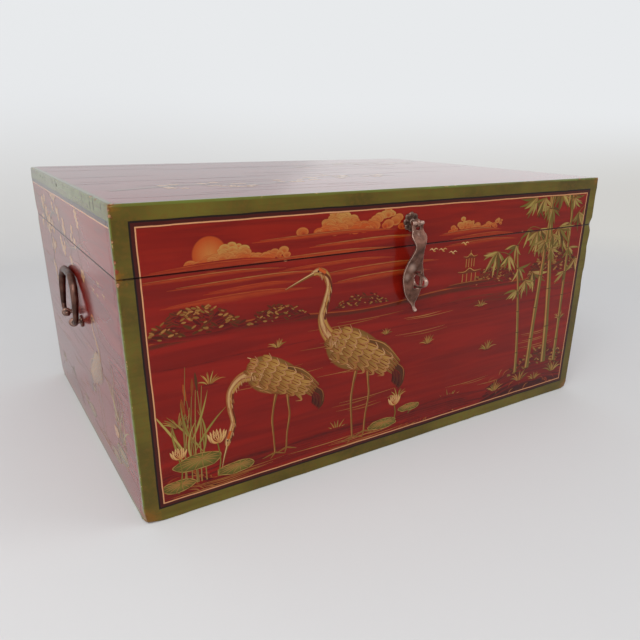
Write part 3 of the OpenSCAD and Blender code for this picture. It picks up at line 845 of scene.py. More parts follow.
def makeHaspFittings():
    hasp = pivotOf("hasp_swing")
    eye = makeCotter("hasp-eye", "eye", -halfDepth - hasp.y + boardThick, placed(*hasp) @ spun(-90, "Y"))
    addPiece("hasp-eye", eye, wroughtIron, "lid", ["hasp_eye"])
    low, high = (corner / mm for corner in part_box("hasp_staple"))
    look = cotterLook["staple"]
    neck = look["wire"] + cotterLook["neckEase"]
    out = math.sqrt((look["inner"] + neck) ** 2 - (cotterLook["legGap"] / 2 + neck) ** 2) + look["lift"]
    draw = (-halfDepth - low.y - out - look["wire"]) / look["inner"]
    staple = makeCotter("hasp-staple", "staple", out + boardThick,
                        placed((low.x + high.x) / 2, -halfDepth - out, (low.z + high.z) / 2) @ spun(-90, "Y"),
                        draw)
    addPiece("hasp-staple", staple, wroughtIron, "case", ["hasp_staple"])


rosetteLook = {
    "Petals": 8,
    "Ring radius": 6.6 * mm,
    "Petal radius": 3.6 * mm,
    "Petal height": 2.15 * mm,
    "Disc height": 1.7 * mm,
    "Hammer depth": 0.5 * mm,
    "Hammer grain": 420.0,
}


def makeRosette():
    hasp = pivotOf("hasp_swing")
    bm = bmesh.new()
    lathe(bm, [(0.05 * mm, 3.4 * mm), (2.2 * mm, 3.4 * mm), (2.75 * mm, 3.2 * mm), (3.0 * mm, 2.8 * mm)],
          Matrix(), 32)
    collar = meshFrom(bm, "collar")
    petals = growFrom(collar, rosetteTree, dict(rosetteLook, Iron=rosetteIron), "hasp-rosette")
    petals.transform(placed(hasp.x, -halfDepth, hasp.z) @ spun(90, "X"))
    sharpen(petals, 60)
    addPiece("hasp-rosette", petals, rosetteIron, "lid", ["hasp_rosette"])


# Hasp: flat plate with its outline, hole and slot, then bent to its side view

haspLook = {
    "length": 92.0,
    "thick": 2.2,
    "bar": 2.2,
    "headWidth": 14.6,
    "lobe": (18.6, 14.0),     # width, and distance below the bar
    "waist": (12.0, 25.0),
    "belly": (27.6, 56.5),
    "tipWidth": 4.4,
    "bowOut": 6.5,
    "bellyIn": 2.2,
    "flickOut": 5.5,
    "hole": (6.6, 7.2),       # width, and how far it reaches below the bar
    "slot": (8.4, 18.2),      # width and height
    "slotAt": (5.0, 60.0),    # aside, and its middle below the bar
    "voxel": 0.42,
    "hammer": 0.22,
}


def haspOutline():
    look = haspLook
    lobeW, lobeD = look["lobe"]
    waistW, waistD = look["waist"]
    bellyW, bellyD = look["belly"]
    length, tip, head = look["length"], look["tipWidth"], look["headWidth"]
    half = smoothLine([
        (head / 2, 0), (head / 2 - 0.2, lobeD / 2), (lobeW / 2, lobeD), (waistW / 2, waistD),
        ((waistW + bellyW) / 4, (waistD + bellyD) / 2), (bellyW / 2, bellyD),
        (0.36 * bellyW, (bellyD + length) / 2), (tip / 2, length - 6), (tip / 2, length - 1.2),
        (tip / 4, length)], 8)
    return [(p.x, -p.y) for p in half] + [(-p.x, -p.y) for p in reversed(half)]


def haspSideView():
    look = haspLook
    bellyD, length = look["belly"][1], look["length"]
    return smoothLine([
        (0, 0), (0.3, look["lobe"][1] / 2), (look["bowOut"], look["waist"][1] - 3),
        (-0.4 * look["bellyIn"], bellyD - 14), (-look["bellyIn"], bellyD + 3),
        (-look["bellyIn"], length - 12), (look["flickOut"] / 6, length - 3.5),
        (look["flickOut"], length + 0.5)], 16)


def roundedSlot(centre, width, height, radius):
    points = []
    for sx, sy, start in ((1, 1, 0), (-1, 1, 90), (-1, -1, 180), (1, -1, 270)):
        corner = (centre[0] + sx * (width / 2 - radius), centre[1] + sy * (height / 2 - radius))
        points += arcPoints(corner, radius, start, start + 90, 4)
    return points


def makeHasp():
    look = haspLook
    bm = bmesh.new()
    holeW, holeD = look["hole"]
    slotX, slotD = look["slotAt"]
    rings = [haspOutline(), roundedSlot((slotX, -slotD), *look["slot"], 1.2),
             roundedSlot((0, -holeD / 2 - 0.6), holeW, holeD - 1.2, 2.2)]
    for ring in rings:
        verts = [bm.verts.new((x, z, -look["thick"] / 2)) for x, z in ring]
        for a, b in zip(verts, verts[1:] + verts[:1]):
            bm.edges.new((a, b))
    bmesh.ops.triangle_fill(bm, edges=bm.edges[:], use_beauty=True, use_dissolve=False)
    skin = bmesh.ops.extrude_face_region(bm, geom=bm.faces[:])
    bmesh.ops.translate(bm, vec=(0, 0, look["thick"]),
                        verts=[v for v in skin["geom"] if isinstance(v, bmesh.types.BMVert)])
    bmesh.ops.recalc_face_normals(bm, faces=bm.faces[:])
    flat = bpy.data.objects.new("hasp-flat", meshFrom(bm, "hasp-flat"))
    bpy.context.scene.collection.objects.link(flat)
    remesh = flat.modifiers.new("even", "REMESH")
    remesh.mode = "VOXEL"
    remesh.voxel_size = look["voxel"]
    ease = flat.modifiers.new("ease", "SMOOTH")
    ease.factor = 0.5
    ease.iterations = 5
    graph = bpy.context.evaluated_depsgraph_get()
    mesh = bpy.data.meshes.new_from_object(flat.evaluated_get(graph), depsgraph=graph)
    flat.modifiers.clear()
    bpy.data.objects.remove(flat)
    side = haspSideView()
    for vertex in mesh.vertices:
        x, up, n = vertex.co
        drop = -up
        marks = noise.noise(Vector((x, up, 0)) * 0.3) + 0.5 * noise.noise(Vector((x, up, 9)) * 0.9)
        n += look["hammer"] * marks
        i = max(1, min(len(side) - 1, next((k for k, p in enumerate(side) if p.y >= drop), len(side) - 1)))
        a, b = side[i - 1], side[i]
        t = (drop - a.y) / max(b.y - a.y, 0.01)
        out = a.x + (b.x - a.x) * t
        away = Vector((1.0, -(b.x - a.x) / max(b.y - a.y, 0.01))).normalized()
        vertex.co = Vector((x, -(out + n * away.x), -(drop + n * away.y))) * mm
    bm = bmesh.new()
    bm.from_mesh(mesh)
    bar = placed(-look["headWidth"] / 2, 0, 0) @ spun(90, "Y")
    lathe(bm, [(a * mm, r * mm) for a, r in roundedRod(look["headWidth"], look["bar"], 0.6)], bar, 28)
    bm.to_mesh(mesh)
    bm.free()
    mesh.transform(Matrix.Translation(pivotOf("hasp_swing") * mm))
    sharpen(mesh, 60)
    addPiece("hasp-plate", mesh, wroughtIron, "hasp", ["hasp_plate"])


# Bail handles, their eyes and washers

bailLook = {
    "eyeSpacing": 43.0,
    "endRadius": 2.5,
    "clear": 0.25,
    "gripRadius": 4.0,
    "height": 51.0,
    "width": 72.0,
    "foot": 11.0,
    "shoulder": 24.0,
    "knob": 3.5,
    "leanGap": 0.3,
    "hammerDepth": 0.9,
    "hammerGrain": 150.0,
    "washer": (6.5, 2.0),     # radius and thickness
}


def bailPath():
    look = bailLook
    wire = cotterLook["grip"]["wire"]
    tip = look["eyeSpacing"] / 2 - wire - look["knob"]
    half = [(tip + (look["eyeSpacing"] / 2 + wire + look["clear"] - tip) * i / 6, 0) for i in range(7)]
    half += arcPoints((look["width"] / 2 - look["foot"], look["foot"]), look["foot"], -90, 0, 16)
    half += arcPoints((look["width"] / 2 - look["shoulder"], look["height"] - look["shoulder"]),
                      look["shoulder"], 0, 90, 18)
    half += [(x, look["height"]) for x in (9.0, 6.0, 3.0, 0.0)]
    return half + [(-x, y) for x, y in reversed(half[:-1])]


def bailRadius(height):
    look = bailLook
    start = look["endRadius"]
    share = min(1, height / look["height"] * 1.15)
    return start + (look["gripRadius"] - start) * math.sin(math.pi / 2 * share)


def makeHandle(side, body):
    look = bailLook
    name = body.replace("_", "-")
    pivot = pivotOf(body + "_swing")
    pivotOut = abs(pivot.x) - halfWidth
    lean = math.degrees(math.asin((pivotOut - look["gripRadius"] - look["leanGap"]) / look["height"]))
    path = bailPath()
    bail = growFrom(pathCurve(name, path, [bailRadius(y) for x, y in path]), bailTree, {
        "Sides": 24, "Knob radius": look["knob"] * mm, "Hammer depth": look["hammerDepth"] * mm,
        "Hammer grain": look["hammerGrain"], "Iron": handleIron}, name + "-bail")
    bail.transform(placed(*pivot) @ spun(-side * lean, "Y") @ spun(90, "Z") @ spun(90, "X"))
    smoothShade(bail)
    addPiece(name + "-bail", bail, handleIron, body, [body + "_bail"])
    eyes = []
    washers = bmesh.new()
    radius, thick = look["washer"]
    profile = [(0.05, radius - 0.3), (0.4, radius), (thick * 0.6, radius - 0.1), (thick - 0.1, radius - 0.9),
               (thick, 2.6)]
    for k in (-1, 1):
        at = placed(pivot.x, k * look["eyeSpacing"] / 2, pivot.z) @ spun(side * 90, "Z")
        eyes.append(makeCotter(name + "-eye", "grip", pivotOut + boardThick, at @ spun(-90, "Y")))
        lathe(washers, [(a * mm, r * mm) for a, r in profile],
              placed(side * halfWidth, k * look["eyeSpacing"] / 2, pivot.z) @ spun(side * 90, "Y"), 36)
    both = joinMeshes(name + "-eyes", eyes)
    sharpen(both, 50)
    addPiece(name + "-eyes", both, wroughtIron, "case", [body + "_eyes"])
    mesh = meshFrom(washers, name + "-washers")
    sharpen(mesh, 50)
    addPiece(name + "-washers", mesh, handleIron, "case", [body + "_washers"])


wireTree = makeWireTree()
bailTree = makeBailTree()
rosetteTree = makeRosetteTree()
makeHaspFittings()
makeRosette()
makeHasp()
makeHandle(-1, "left_handle")
makeHandle(1, "right_handle")
for node in [name for name in frame["nodes"] if "_hinge_" in name]:
    metal = frame["nodes"][node].data.materials
    metal.clear()
    metal.append(hingeIron)
print("ironwork made")


# Painted scenes: each brush stroke is a thin ribbon on the boards, under the same varnish

rng = random.Random()  # seeded again for each sheet

paintLook = {
    "inset": 19.6,      # from the edges to the inner side of the pinstripe
    "narrowInset": 6.0,  # from the edges where there is no pinstripe
    "lift": 0.05,
    "rise": 0.0015,     # each stroke lies this much above those it crosses
    "cell": 5.0,        # grid on which crossings are found
    "beside": 0.8,      # bare strip on both sides of the seam
    "gold": srgb("#b48a46"),
    "cream": srgb("#d2b07a"),
    "ochre": srgb("#8e6428"),
    "umber": srgb("#4a2a12"),
    "dark": srgb("#260e0b"),
    "olive": srgb("#6b6425"),
    "moss": srgb("#38330f"),
    "straw": srgb("#a3924a"),
    "orange": srgb("#b5501c"),
    "ember": srgb("#8a2410"),
    "shade": srgb("#4d100c"),
}


def mixed(first, second, share):
    return tuple(a + (b - a) * share for a, b in zip(paintLook[first], paintLook[second]))


def newSheet(name, toChest, wide, low, high):
    # A sheet is flat: u to the right, v up and w out of the board
    return {"name": name, "matrix": toChest, "wide": wide, "low": low, "high": high, "levels": {},
            "lift": 0.0,
            "verts": [], "faces": [], "paint": [], "brush": [], "touch": []}


def raiseOver(sheet, spots):
    # Sets the lift just above all the strokes under these spots (u, v, reach)
    cell = paintLook["cell"]
    cells = set()
    for u, v, reach in spots:
        for i in range(math.floor((u - reach) / cell), math.floor((u + reach) / cell) + 1):
            for j in range(math.floor((v - reach) / cell), math.floor((v + reach) / cell) + 1):
                cells.add((i, j))
    level = 1 + max(sheet["levels"].get(c, 0) for c in cells)
    sheet["levels"].update(dict.fromkeys(cells, level))
    sheet["lift"] = paintLook["lift"] + paintLook["rise"] * level


def addPoint(sheet, u, v, brush, paint, touch):
    sheet["verts"].append((u, v, sheet["lift"]))
    sheet["brush"].append(brush)
    sheet["paint"].append(paint)
    sheet["touch"].append(touch)
    return len(sheet["verts"]) - 1


def stroke(sheet, points, paint, cover=1.0, soft=0.25, dry=0.0, fade=None, steps=6):
    # Ribbon through points (u, v, width); its paint may change to another along the way
    line = smoothLine(points, steps)
    gaps = [(b - a).xy.length for a, b in zip(line, line[1:])]
    raiseOver(sheet, [(p.x, p.y, max(p.z, gap) / 2) for p, gap in zip(line, gaps + gaps[-1:])])
    along = 0.0
    before = None
    for i, p in enumerate(line):
        way = (line[min(i + 1, len(line) - 1)] - line[max(i - 1, 0)]).xy
        if way.length < 1e-6:
            way = Vector((1, 0))
        way.normalize()
        share = i / (len(line) - 1)
        colour = [a + (b - a) * share for a, b in zip(paint, fade or paint)]
        width = max(p.z, 0.05)
        row = [addPoint(sheet, p.x - way.y * s * width / 2, p.y + way.x * s * width / 2, (s, along, width),
                        (*colour[:3], cover), (soft, dry, 0)) for s in (-1, 0, 1)]
        if before:
            sheet["faces"] += [(before[0], row[0], row[1], before[1]), (before[1], row[1], row[2], before[2])]
        before = row
        if i + 1 < len(line):
            along += (line[i + 1] - p).xy.length


def patch(sheet, outline, core, rim, middle, cover=1.0, soft=0.5, dry=0.0, steps=5):
    # Filled shape that is seen whole from its core; the paint goes from rim to middle
    closed = smoothLine([(*p, 0) for p in (outline[-1], *outline, outline[0], outline[1])],
                        steps)[steps:-steps]
    wide = max(abs(p.x - core[0]) for p in closed)
    tall = max(abs(p.y - core[1]) for p in closed)
    reach = min(wide, tall)
    aside, above = wide - reach, tall - reach
    raiseOver(sheet, [(core[0] + aside * k / 2, core[1] + above * k / 2, reach) for k in range(-2, 3)])
    rings = []
    for share, edge in ((1.0, 1.0), (0.86, 0.0), (0.45, 0.0)):
        colour = rim if share > 0.8 else tuple((a + b) / 2 for a, b in zip(rim, middle))
        rings.append([addPoint(sheet, core[0] + (p.x - core[0]) * share, core[1] + (p.y - core[1]) * share,
                               (edge, p.x, 8.0), (*colour[:3], cover), (soft, dry, 0)) for p in closed[:-1]])
    centre = addPoint(sheet, *core, (0.0, core[0], 8.0), (*middle[:3], cover), (soft, dry, 0))
    count = len(rings[0])
    for k in range(count):
        n = (k + 1) % count
        for outer, inner in zip(rings, rings[1:]):
            sheet["faces"].append((outer[k], outer[n], inner[n], inner[k]))
        sheet["faces"].append((rings[-1][k], rings[-1][n], centre))


def leaf(sheet, u, v, angle, length, width, paint, bend=0.0, cover=1.0, dry=0.15, fade=None):
    # Lens-shaped stroke from (u, v), with its tip bent aside
    a = math.radians(angle)
    points = []
    for share, wide in ((0, 0.15), (0.2, 0.75), (0.45, 1.0), (0.75, 0.6), (1, 0.05)):
        turn = a + math.radians(bend) * share
        points.append((u + length * share * math.cos(turn), v + length * share * math.sin(turn),
                       width * wide))
    stroke(sheet, points, paint, cover, 0.35, dry, fade, 3)


def washes(sheet, low, high, count, paints, cover, wide=(3, 11)):
    # Long level streaks of thin paint
    for i in range(count):
        u = rng.uniform(-sheet["wide"], sheet["wide"])
        v = rng.uniform(low, high)
        length = rng.uniform(60, 230)
        w = rng.uniform(*wide)
        tilt = rng.uniform(-3, 3)
        stroke(sheet, [(u - length / 2, v, 0.3), (u - length / 5, v + tilt, w), (u + length / 5, v, w * 0.8),
                       (u + length / 2, v + tilt, 0.3)], paintLook[rng.choice(paints)], cover, 0.95, 0.75)


def ripples(sheet, u, v, wide, count):
    for i in range(count):
        level = v - i * 2.6 * rng.uniform(0.7, 1.4)
        half = wide * rng.uniform(0.35, 1.0) / 2
        middle = u + rng.uniform(-0.25, 0.25) * wide
        stroke(sheet, [(middle - half, level, 0.2), (middle, level - 1.1, rng.uniform(0.7, 1.3)),
                       (middle + half, level + 0.3, 0.2)], mixed("ochre", "gold", rng.random()), 0.75, 0.5,
                       0.35)


def tuft(sheet, u, v, size, spread=1.0):
    # Fan of grass blades over a dark foot
    stroke(sheet, [(u - size * 0.7, v - 1, 0.5), (u, v - 0.5, size * 0.26), (u + size * 0.7, v - 1, 0.5)],
           paintLook["shade"], 0.8, 0.9, 0.3)
    count = rng.randint(8, 13)
    for i in range(count):
        lean = (i / (count - 1) - 0.5) * 115 * spread + rng.uniform(-8, 8)
        paint = mixed(rng.choice(("moss", "olive", "ochre")), rng.choice(("straw", "gold")),
                      rng.random() * 0.8)
        leaf(sheet, u + lean * size * 0.003, v, 90 - lean * 0.7, size * rng.uniform(0.6, 1.0),
             size * 0.07 + 0.45,
             paint, -lean * 0.55, 0.95)


def reeds(sheet, u, v, height, count, spread=14):
    for i in range(count):
        foot = u + rng.uniform(-spread, spread)
        lean = rng.uniform(-10, 10)
        tall = height * rng.uniform(0.65, 1.0)
        stroke(sheet, [(foot, v, 1.3), (foot + lean * 0.3, v + tall * 0.5, 1.1),
                       (foot + lean, v + tall, 0.5)],
               mixed("moss", "straw", rng.uniform(0.3, 0.9)), 0.95, 0.4, 0.2)
        if i % 2 == 0:
            stroke(sheet, [(foot + lean * 0.8, v + tall * 0.84, 1.2),
                           (foot + lean * 0.93, v + tall * 0.93, 3.2),
                           (foot + lean, v + tall, 0.9)], mixed("umber", "orange", rng.random() * 0.6), 1,
                           0.3)
        leaf(sheet, foot + lean * 0.2, v + tall * rng.uniform(0.2, 0.45),
             90 - math.copysign(28, rng.uniform(-1, 1)),
             tall * 0.5, 2.6, mixed("olive", "straw", rng.random()), rng.uniform(-35, 35))


def spray(sheet, u, v, angle, size, count):
    # Hanging bunch of long pointed leaves
    for i in range(count):
        turn = angle + (i / max(count - 1, 1) - 0.5) * 110 + rng.uniform(-9, 9)
        back = rng.random() < 0.45
        paint = mixed("moss", "olive", rng.random()) if back else mixed("olive", "straw", rng.random() ** 0.8)
        length = size * rng.uniform(0.65, 1.1)
        leaf(sheet, u, v, turn, length, size * 0.17, paint, rng.uniform(-18, 18), 0.96)
        if not back:
            leaf(sheet, u, v, turn + 2, length * 0.86, size * 0.05,
                 mixed("straw", "cream", rng.random() * 0.6),
                 rng.uniform(-10, 10), 0.7, 0.4)


def bamboo(sheet, foot, base, height, lean, thick, leaves=24.0):
    # Jointed stem with a lit edge, side twigs and leaves
    count = max(4, round(height / (thick * 4.6)))
    place = [(foot + lean * (i / count) ** 1.4, base + height * i / count) for i in range(count + 1)]
    for i, (a, b) in enumerate(zip(place, place[1:])):
        w = thick * (1 - 0.45 * i / count)
        mid = ((a[0] + b[0]) / 2, (a[1] + b[1]) / 2)
        stroke(sheet, [(*a, w), (*mid, w * 0.86), (*b, w)], mixed("umber", "olive", rng.uniform(0.55, 0.8)),
               1, 0.2, 0.1)
        stroke(sheet, [(a[0] - w * 0.2, a[1] + 0.6, w * 0.45), (mid[0] - w * 0.17, mid[1], w * 0.38),
                       (b[0] - w * 0.2, b[1] - 0.6, w * 0.45)], mixed("straw", "gold", rng.random()), 0.85,
                       0.7, 0.3)
        stroke(sheet, [(b[0] - w * 0.62, b[1] + 0.2, 0.4), (b[0], b[1] - 0.2, 1.1),
                       (b[0] + w * 0.62, b[1] + 0.2, 0.4)],
               paintLook["dark"], 0.9, 0.3)
        if i >= count * 0.34:
            side = 1 if (i + round(foot)) % 2 else -1
            reach = leaves * rng.uniform(0.7, 1.3)
            tip = (b[0] + side * reach, b[1] + rng.uniform(0.3, 0.9) * reach)
            stroke(sheet, [(*b, 1.0), (b[0] + side * reach * 0.5, b[1] + reach * 0.5, 0.8), (*tip, 0.4)],
                   paintLook["olive"], 0.95, 0.3)
            spray(sheet, *tip, -90 + side * 25, leaves, 8)
            spray(sheet, b[0] + side * reach * 0.5, b[1] + reach * 0.45, -90 + side * 10, leaves * 0.8, 6)
            spray(sheet, b[0] - side * 2, b[1], -90 - side * 35, leaves * 0.7, 5)


def lotusLeaf(sheet, u, v, wide, tall):
    foot = v - 8
    stroke(sheet, [(u, v, 1.4), (u + wide * 0.06, (v + foot) / 2, 1.5), (u - wide * 0.04, foot, 1.7)],
           mixed("moss", "olive", 0.5), 1, 0.3)
    outline = []
    for k in range(14):
        a = 2 * math.pi * k / 14
        reach = 1 + 0.1 * rng.uniform(-1, 1)
        outline.append((u + wide / 2 * reach * math.cos(a), v + tall / 2 * reach * math.sin(a)))
    heart = (u + wide * 0.08, v + tall * 0.12)
    patch(sheet, outline, heart, mixed("moss", "olive", 0.45), mixed("olive", "straw", 0.35), 1, 0.3, 0.1)
    for p in outline:
        stroke(sheet, [(*heart, 0.3), ((heart[0] + p[0]) / 2, (heart[1] + p[1]) / 2 + tall * 0.03, 0.9),
                       (heart[0] + (p[0] - heart[0]) * 0.93, heart[1] + (p[1] - heart[1]) * 0.93, 0.3)],
               mixed("straw", "gold", 0.4), 0.65, 0.5, 0.3)
    for k in range(0, 14, 2):
        a, b, c = (outline[(k + n) % 14] for n in range(3))
        stroke(sheet, [(*a, 0.3), (*b, 1.1), (*c, 0.3)], paintLook["straw"], 0.8, 0.4, 0.3)


def blossom(sheet, u, v, size, foot=None):
    # Open flower seen from the side, with petals in two rows
    if foot is not None:
        stroke(sheet, [(u, v, 1.2), (u + 2, (v + foot) / 2, 1.3), (u - 1, foot, 1.5)], paintLook["olive"], 1,
               0.3)
    for row, count, length in ((0, 7, 1.0), (1, 5, 0.72)):
        for k in range(count):
            turn = 90 + (k - (count - 1) / 2) * (150 / count) + rng.uniform(-4, 4)
            leaf(sheet, u, v, turn, size * length, size * 0.36, mixed("orange", "gold", 0.35 + 0.3 * row),
                 (90 - turn) * 0.35, 1, 0.05, mixed("gold", "cream", 0.6))
            leaf(sheet, u, v + size * 0.08, turn, size * length * 0.8, size * 0.09, paintLook["ember"],
                 (90 - turn) * 0.35, 0.45, 0.5)


def plum(sheet, path, thick, flowers):
    # Old branch with side twigs and round blossoms
    line = smoothLine([(*p, 0) for p in path], 6)
    count = len(line) - 1
    stroke(sheet, [(p.x, p.y, thick * (1 - 0.75 * i / count)) for i, p in enumerate(line)],
           mixed("umber", "dark", 0.3), 1, 0.2, 0.1, steps=2)
    stroke(sheet, [(p.x, p.y + thick * 0.22 * (1 - i / count), thick * 0.3 * (1 - 0.7 * i / count))
                   for i, p in enumerate(line)], mixed("ochre", "gold", 0.4), 0.8, 0.6, 0.6, steps=2)
    for k in range(flowers):
        p = line[round(count * (0.15 + 0.85 * k / flowers))]
        angle = rng.uniform(25, 155) if k % 2 else rng.uniform(-150, -30)
        reach = rng.uniform(9, 30)
        tip = (p.x + reach * math.cos(math.radians(angle)), p.y + reach * math.sin(math.radians(angle)))
        stroke(sheet, [(p.x, p.y, thick * 0.25), ((p.x + tip[0]) / 2 + 1.5, (p.y + tip[1]) / 2, 1.0),
                       (*tip, 0.5)],
               mixed("umber", "ochre", 0.4), 1, 0.3)
        for n in range(3):
            u, v = tip[0] + rng.uniform(-9, 9), tip[1] + rng.uniform(-9, 9)
            size = rng.uniform(4.5, 7.0)
            for petal in range(5):
                leaf(sheet, u, v, petal * 72 + k * 20, size, size * 0.85, mixed("orange", "gold", 0.5), 0, 1,
                     0.05,
                     mixed("gold", "cream", rng.random()))
            leaf(sheet, u - 0.8, v, 0, 1.8, 1.6, paintLook["umber"], 0, 1, 0)


def birds(sheet, u, v, count, size):
    for i in range(count):
        x, y = u + i * size * 2.4 + rng.uniform(-3, 3), v + rng.uniform(-1, 1) * size * 1.3
        for side in (-1, 1):
            stroke(sheet, [(x, y, 1.1), (x + side * size * 0.45, y + size * 0.34, 1.3),
                           (x + side * size, y + size * 0.12, 0.3)], mixed("gold", "cream", rng.random()),
                           0.95, 0.3)
        stroke(sheet, [(x - size * 0.1, y + 0.3, 0.5), (x + 0.4, y - 0.6, 1.5),
                       (x + size * 0.5, y - 1.2, 0.3)],
               paintLook["gold"], 0.9, 0.3)


def ringOf(u, v, wide, tall, count=9):
    turns = [2 * math.pi * k / count for k in range(count)]
    return [(u + wide * math.cos(a), v + tall * math.sin(a)) for a in turns]


cloudLook = {
    "puffs": 24,        # for each bar
    "spread": 0.36,     # these are shares of the cloud's width
    "puff": 0.017,
    "tall": 0.12,
    "barGap": 0.05,
}


def cloudBars(sheet, u, v, wide, count):
    # Billows lit from above, drawn from the top down, over flat soft bars
    puffs = []
    look = cloudLook
    for i in range(count * look["puffs"]):
        x = u + (rng.random() - rng.random()) * wide * look["spread"]
        profile = (1 - (2 * (x - u) / wide) ** 2) * (0.62 + 0.38 * math.sin(x * 0.11 + u))
        puffs.append((rng.random() * profile, x))
    for share, x in sorted(puffs, reverse=True):
        reach = wide * look["puff"] * rng.uniform(0.5, 1.5)
        y = v - 4 + share * wide * look["tall"]
        warm = min(1, share * 1.2 + rng.uniform(-0.1, 0.25))
        patch(sheet, ringOf(x, y, reach * 1.5, reach), (x, y - reach * 0.5), mixed("orange", "gold", warm),
              mixed("ember", "orange", warm * 0.9), 0.92, 0.3, 0.25, 3)
    for i in range(count):
        level = v - 5 - i * wide * look["barGap"]
        half = wide * rng.uniform(0.3, 0.55)
        middle = u + rng.uniform(-0.2, 0.2) * wide
        w = rng.uniform(4, 8)
        stroke(sheet, [(middle - half, level - 1, 0.8), (middle - half * 0.4, level, w),
                       (middle + half * 0.3, level + 1, w),
                       (middle + half, level - 1, 0.6)], mixed("ember", "orange", rng.uniform(0.3, 0.8)),
                       0.75, 0.9, 0.5)
        stroke(sheet, [(middle - half * 0.9, level + 0.4, 0.3), (middle - half * 0.4, level + w * 0.36, 1.2),
                       (middle + half * 0.3, level + 1 + w * 0.3, 1.5), (middle + half * 0.9, level, 0.3)],
               mixed("orange", "gold", rng.random()), 0.6, 0.8, 0.5)


def woods(sheet, u, v, wide, tall, count):
    # Clump of foliage in dabs, dark below and lit on top, over a soft dark mass
    for k in range(5):
        half = wide * (0.46 - 0.07 * k)
        level = v + tall * (0.05 + 0.15 * k)
        stroke(sheet, [(u - half, level, tall * 0.15), (u - half * 0.4, level + tall * 0.05, tall * 0.45),
                       (u + half * 0.5, level, tall * 0.4), (u + half, level, tall * 0.1)],
               mixed("shade", "dark", 0.3 + 0.1 * k), 0.85, 0.8, 0.3)
    for i in range(count):
        share = i / count
        x = u + (rng.random() - rng.random()) * wide * 0.5
        y = v + tall * (1 - (2 * (x - u) / wide) ** 2) * rng.random() ** 0.7
        reach = (0.7 + tall * rng.uniform(0.03, 0.08)) * (1.5 - share)
        low = mixed("dark", "moss", rng.random()) if share < 0.6 else mixed("olive", "gold",
                                                                            rng.random() * 0.8)
        tilt = rng.uniform(-1, 1) * reach
        stroke(sheet, [(x - reach * 1.3, y - tilt, reach * 0.7), (x, y, reach * 1.6),
                       (x + reach * 1.3, y + tilt, reach * 0.6)], low, 0.9, 0.8, 0.3, None, 3)


def sun(sheet, u, v, radius):
    patch(sheet, ringOf(u, v, radius, radius, 16), (u, v), mixed("ember", "orange", 0.7),
          mixed("orange", "gold", 0.45), 0.95, 0.6, 0.1)


def bank(sheet, u, v, wide, tall):
    # Low bank of earth: dark body, lit strokes along its top
    for i in range(14):
        level = v + tall * (1 - i / 14) * 0.85
        half = wide / 2 * (0.3 + 0.7 * (i / 13) ** 0.6)
        shift = rng.uniform(-0.06, 0.06) * wide
        stroke(sheet, [(u - half + shift, level - tall * 0.16, 1),
                       (u - half * 0.4 + shift, level, tall * 0.3),
                       (u + half * 0.4 + shift, level - 1, tall * 0.3),
                       (u + half + shift, level - tall * 0.2, 1)],
               mixed("shade", "dark", 0.3 + i / 20), 0.95, 0.6, 0.3)
    for i in range(34):
        x = u + rng.uniform(-0.42, 0.42) * wide
        top = v + tall * 0.95 * math.cos((x - u) / wide * 2.4)
        level = top - rng.random() ** 1.6 * tall * 0.85
        lean = math.copysign(rng.uniform(2, 6), x - u)
        stroke(sheet, [(x - lean * 1.6, level + 2, 0.2), (x, level, rng.uniform(1.2, 2.4)),
                       (x + lean, level - 6, 0.2)],
               mixed("ember", "ochre", rng.random()) if i % 3 else mixed("ochre", "gold", 0.4), 0.7, 0.7, 0.5)


def pavilion(sheet, u, v, size):
    # Small open house with two curved roofs, on a strip of land
    stroke(sheet, [(u - size * 1.5, v - 1, 0.5), (u, v, size * 0.26), (u + size * 1.6, v - 1, 0.5)],
           mixed("shade", "umber", 0.5), 0.95, 0.5, 0.2)
    stroke(sheet, [(u - size * 1.2, v + 1.2, 0.3), (u, v + 2.0, 1.0), (u + size * 1.2, v + 1.2, 0.3)],
           paintLook["ochre"], 0.8, 0.5, 0.3)
    for level, half in ((0.1, 0.5), (0.78, 0.3)):
        y = v + size * level
        for k in (-1, -0.36, 0.36, 1):
            stroke(sheet, [(u + half * size * 0.82 * k, y, 1.1),
                           (u + half * size * 0.8 * k, y + size * 0.45, 1.0)],
                   mixed("ochre", "gold", 0.5), 0.95, 0.3, 0, None, 2)
        roof = y + size * 0.42
        stroke(sheet, [(u - half * size * 1.5, roof + 1.6, 0.4), (u - half * size * 0.8, roof, 1.8),
                       (u, roof + size * 0.08, size * 0.2), (u + half * size * 0.8, roof, 1.8),
                       (u + half * size * 1.5, roof + 1.6, 0.4)], mixed("umber", "ember", 0.3), 1, 0.2)
        stroke(sheet, [(u - half * size * 1.45, roof + 2.2, 0.3), (u - half * size * 0.6, roof + 1.6, 0.8),
                       (u, roof + size * 0.2, 0.9), (u + half * size * 0.6, roof + 1.6, 0.8),
                       (u + half * size * 1.45, roof + 2.2, 0.3)], paintLook["gold"], 0.9, 0.3)
    stroke(sheet, [(u, v + size * 1.3, 1.0), (u, v + size * 1.55, 0.3)], paintLook["gold"], 1, 0.3, 0, None,
           2)


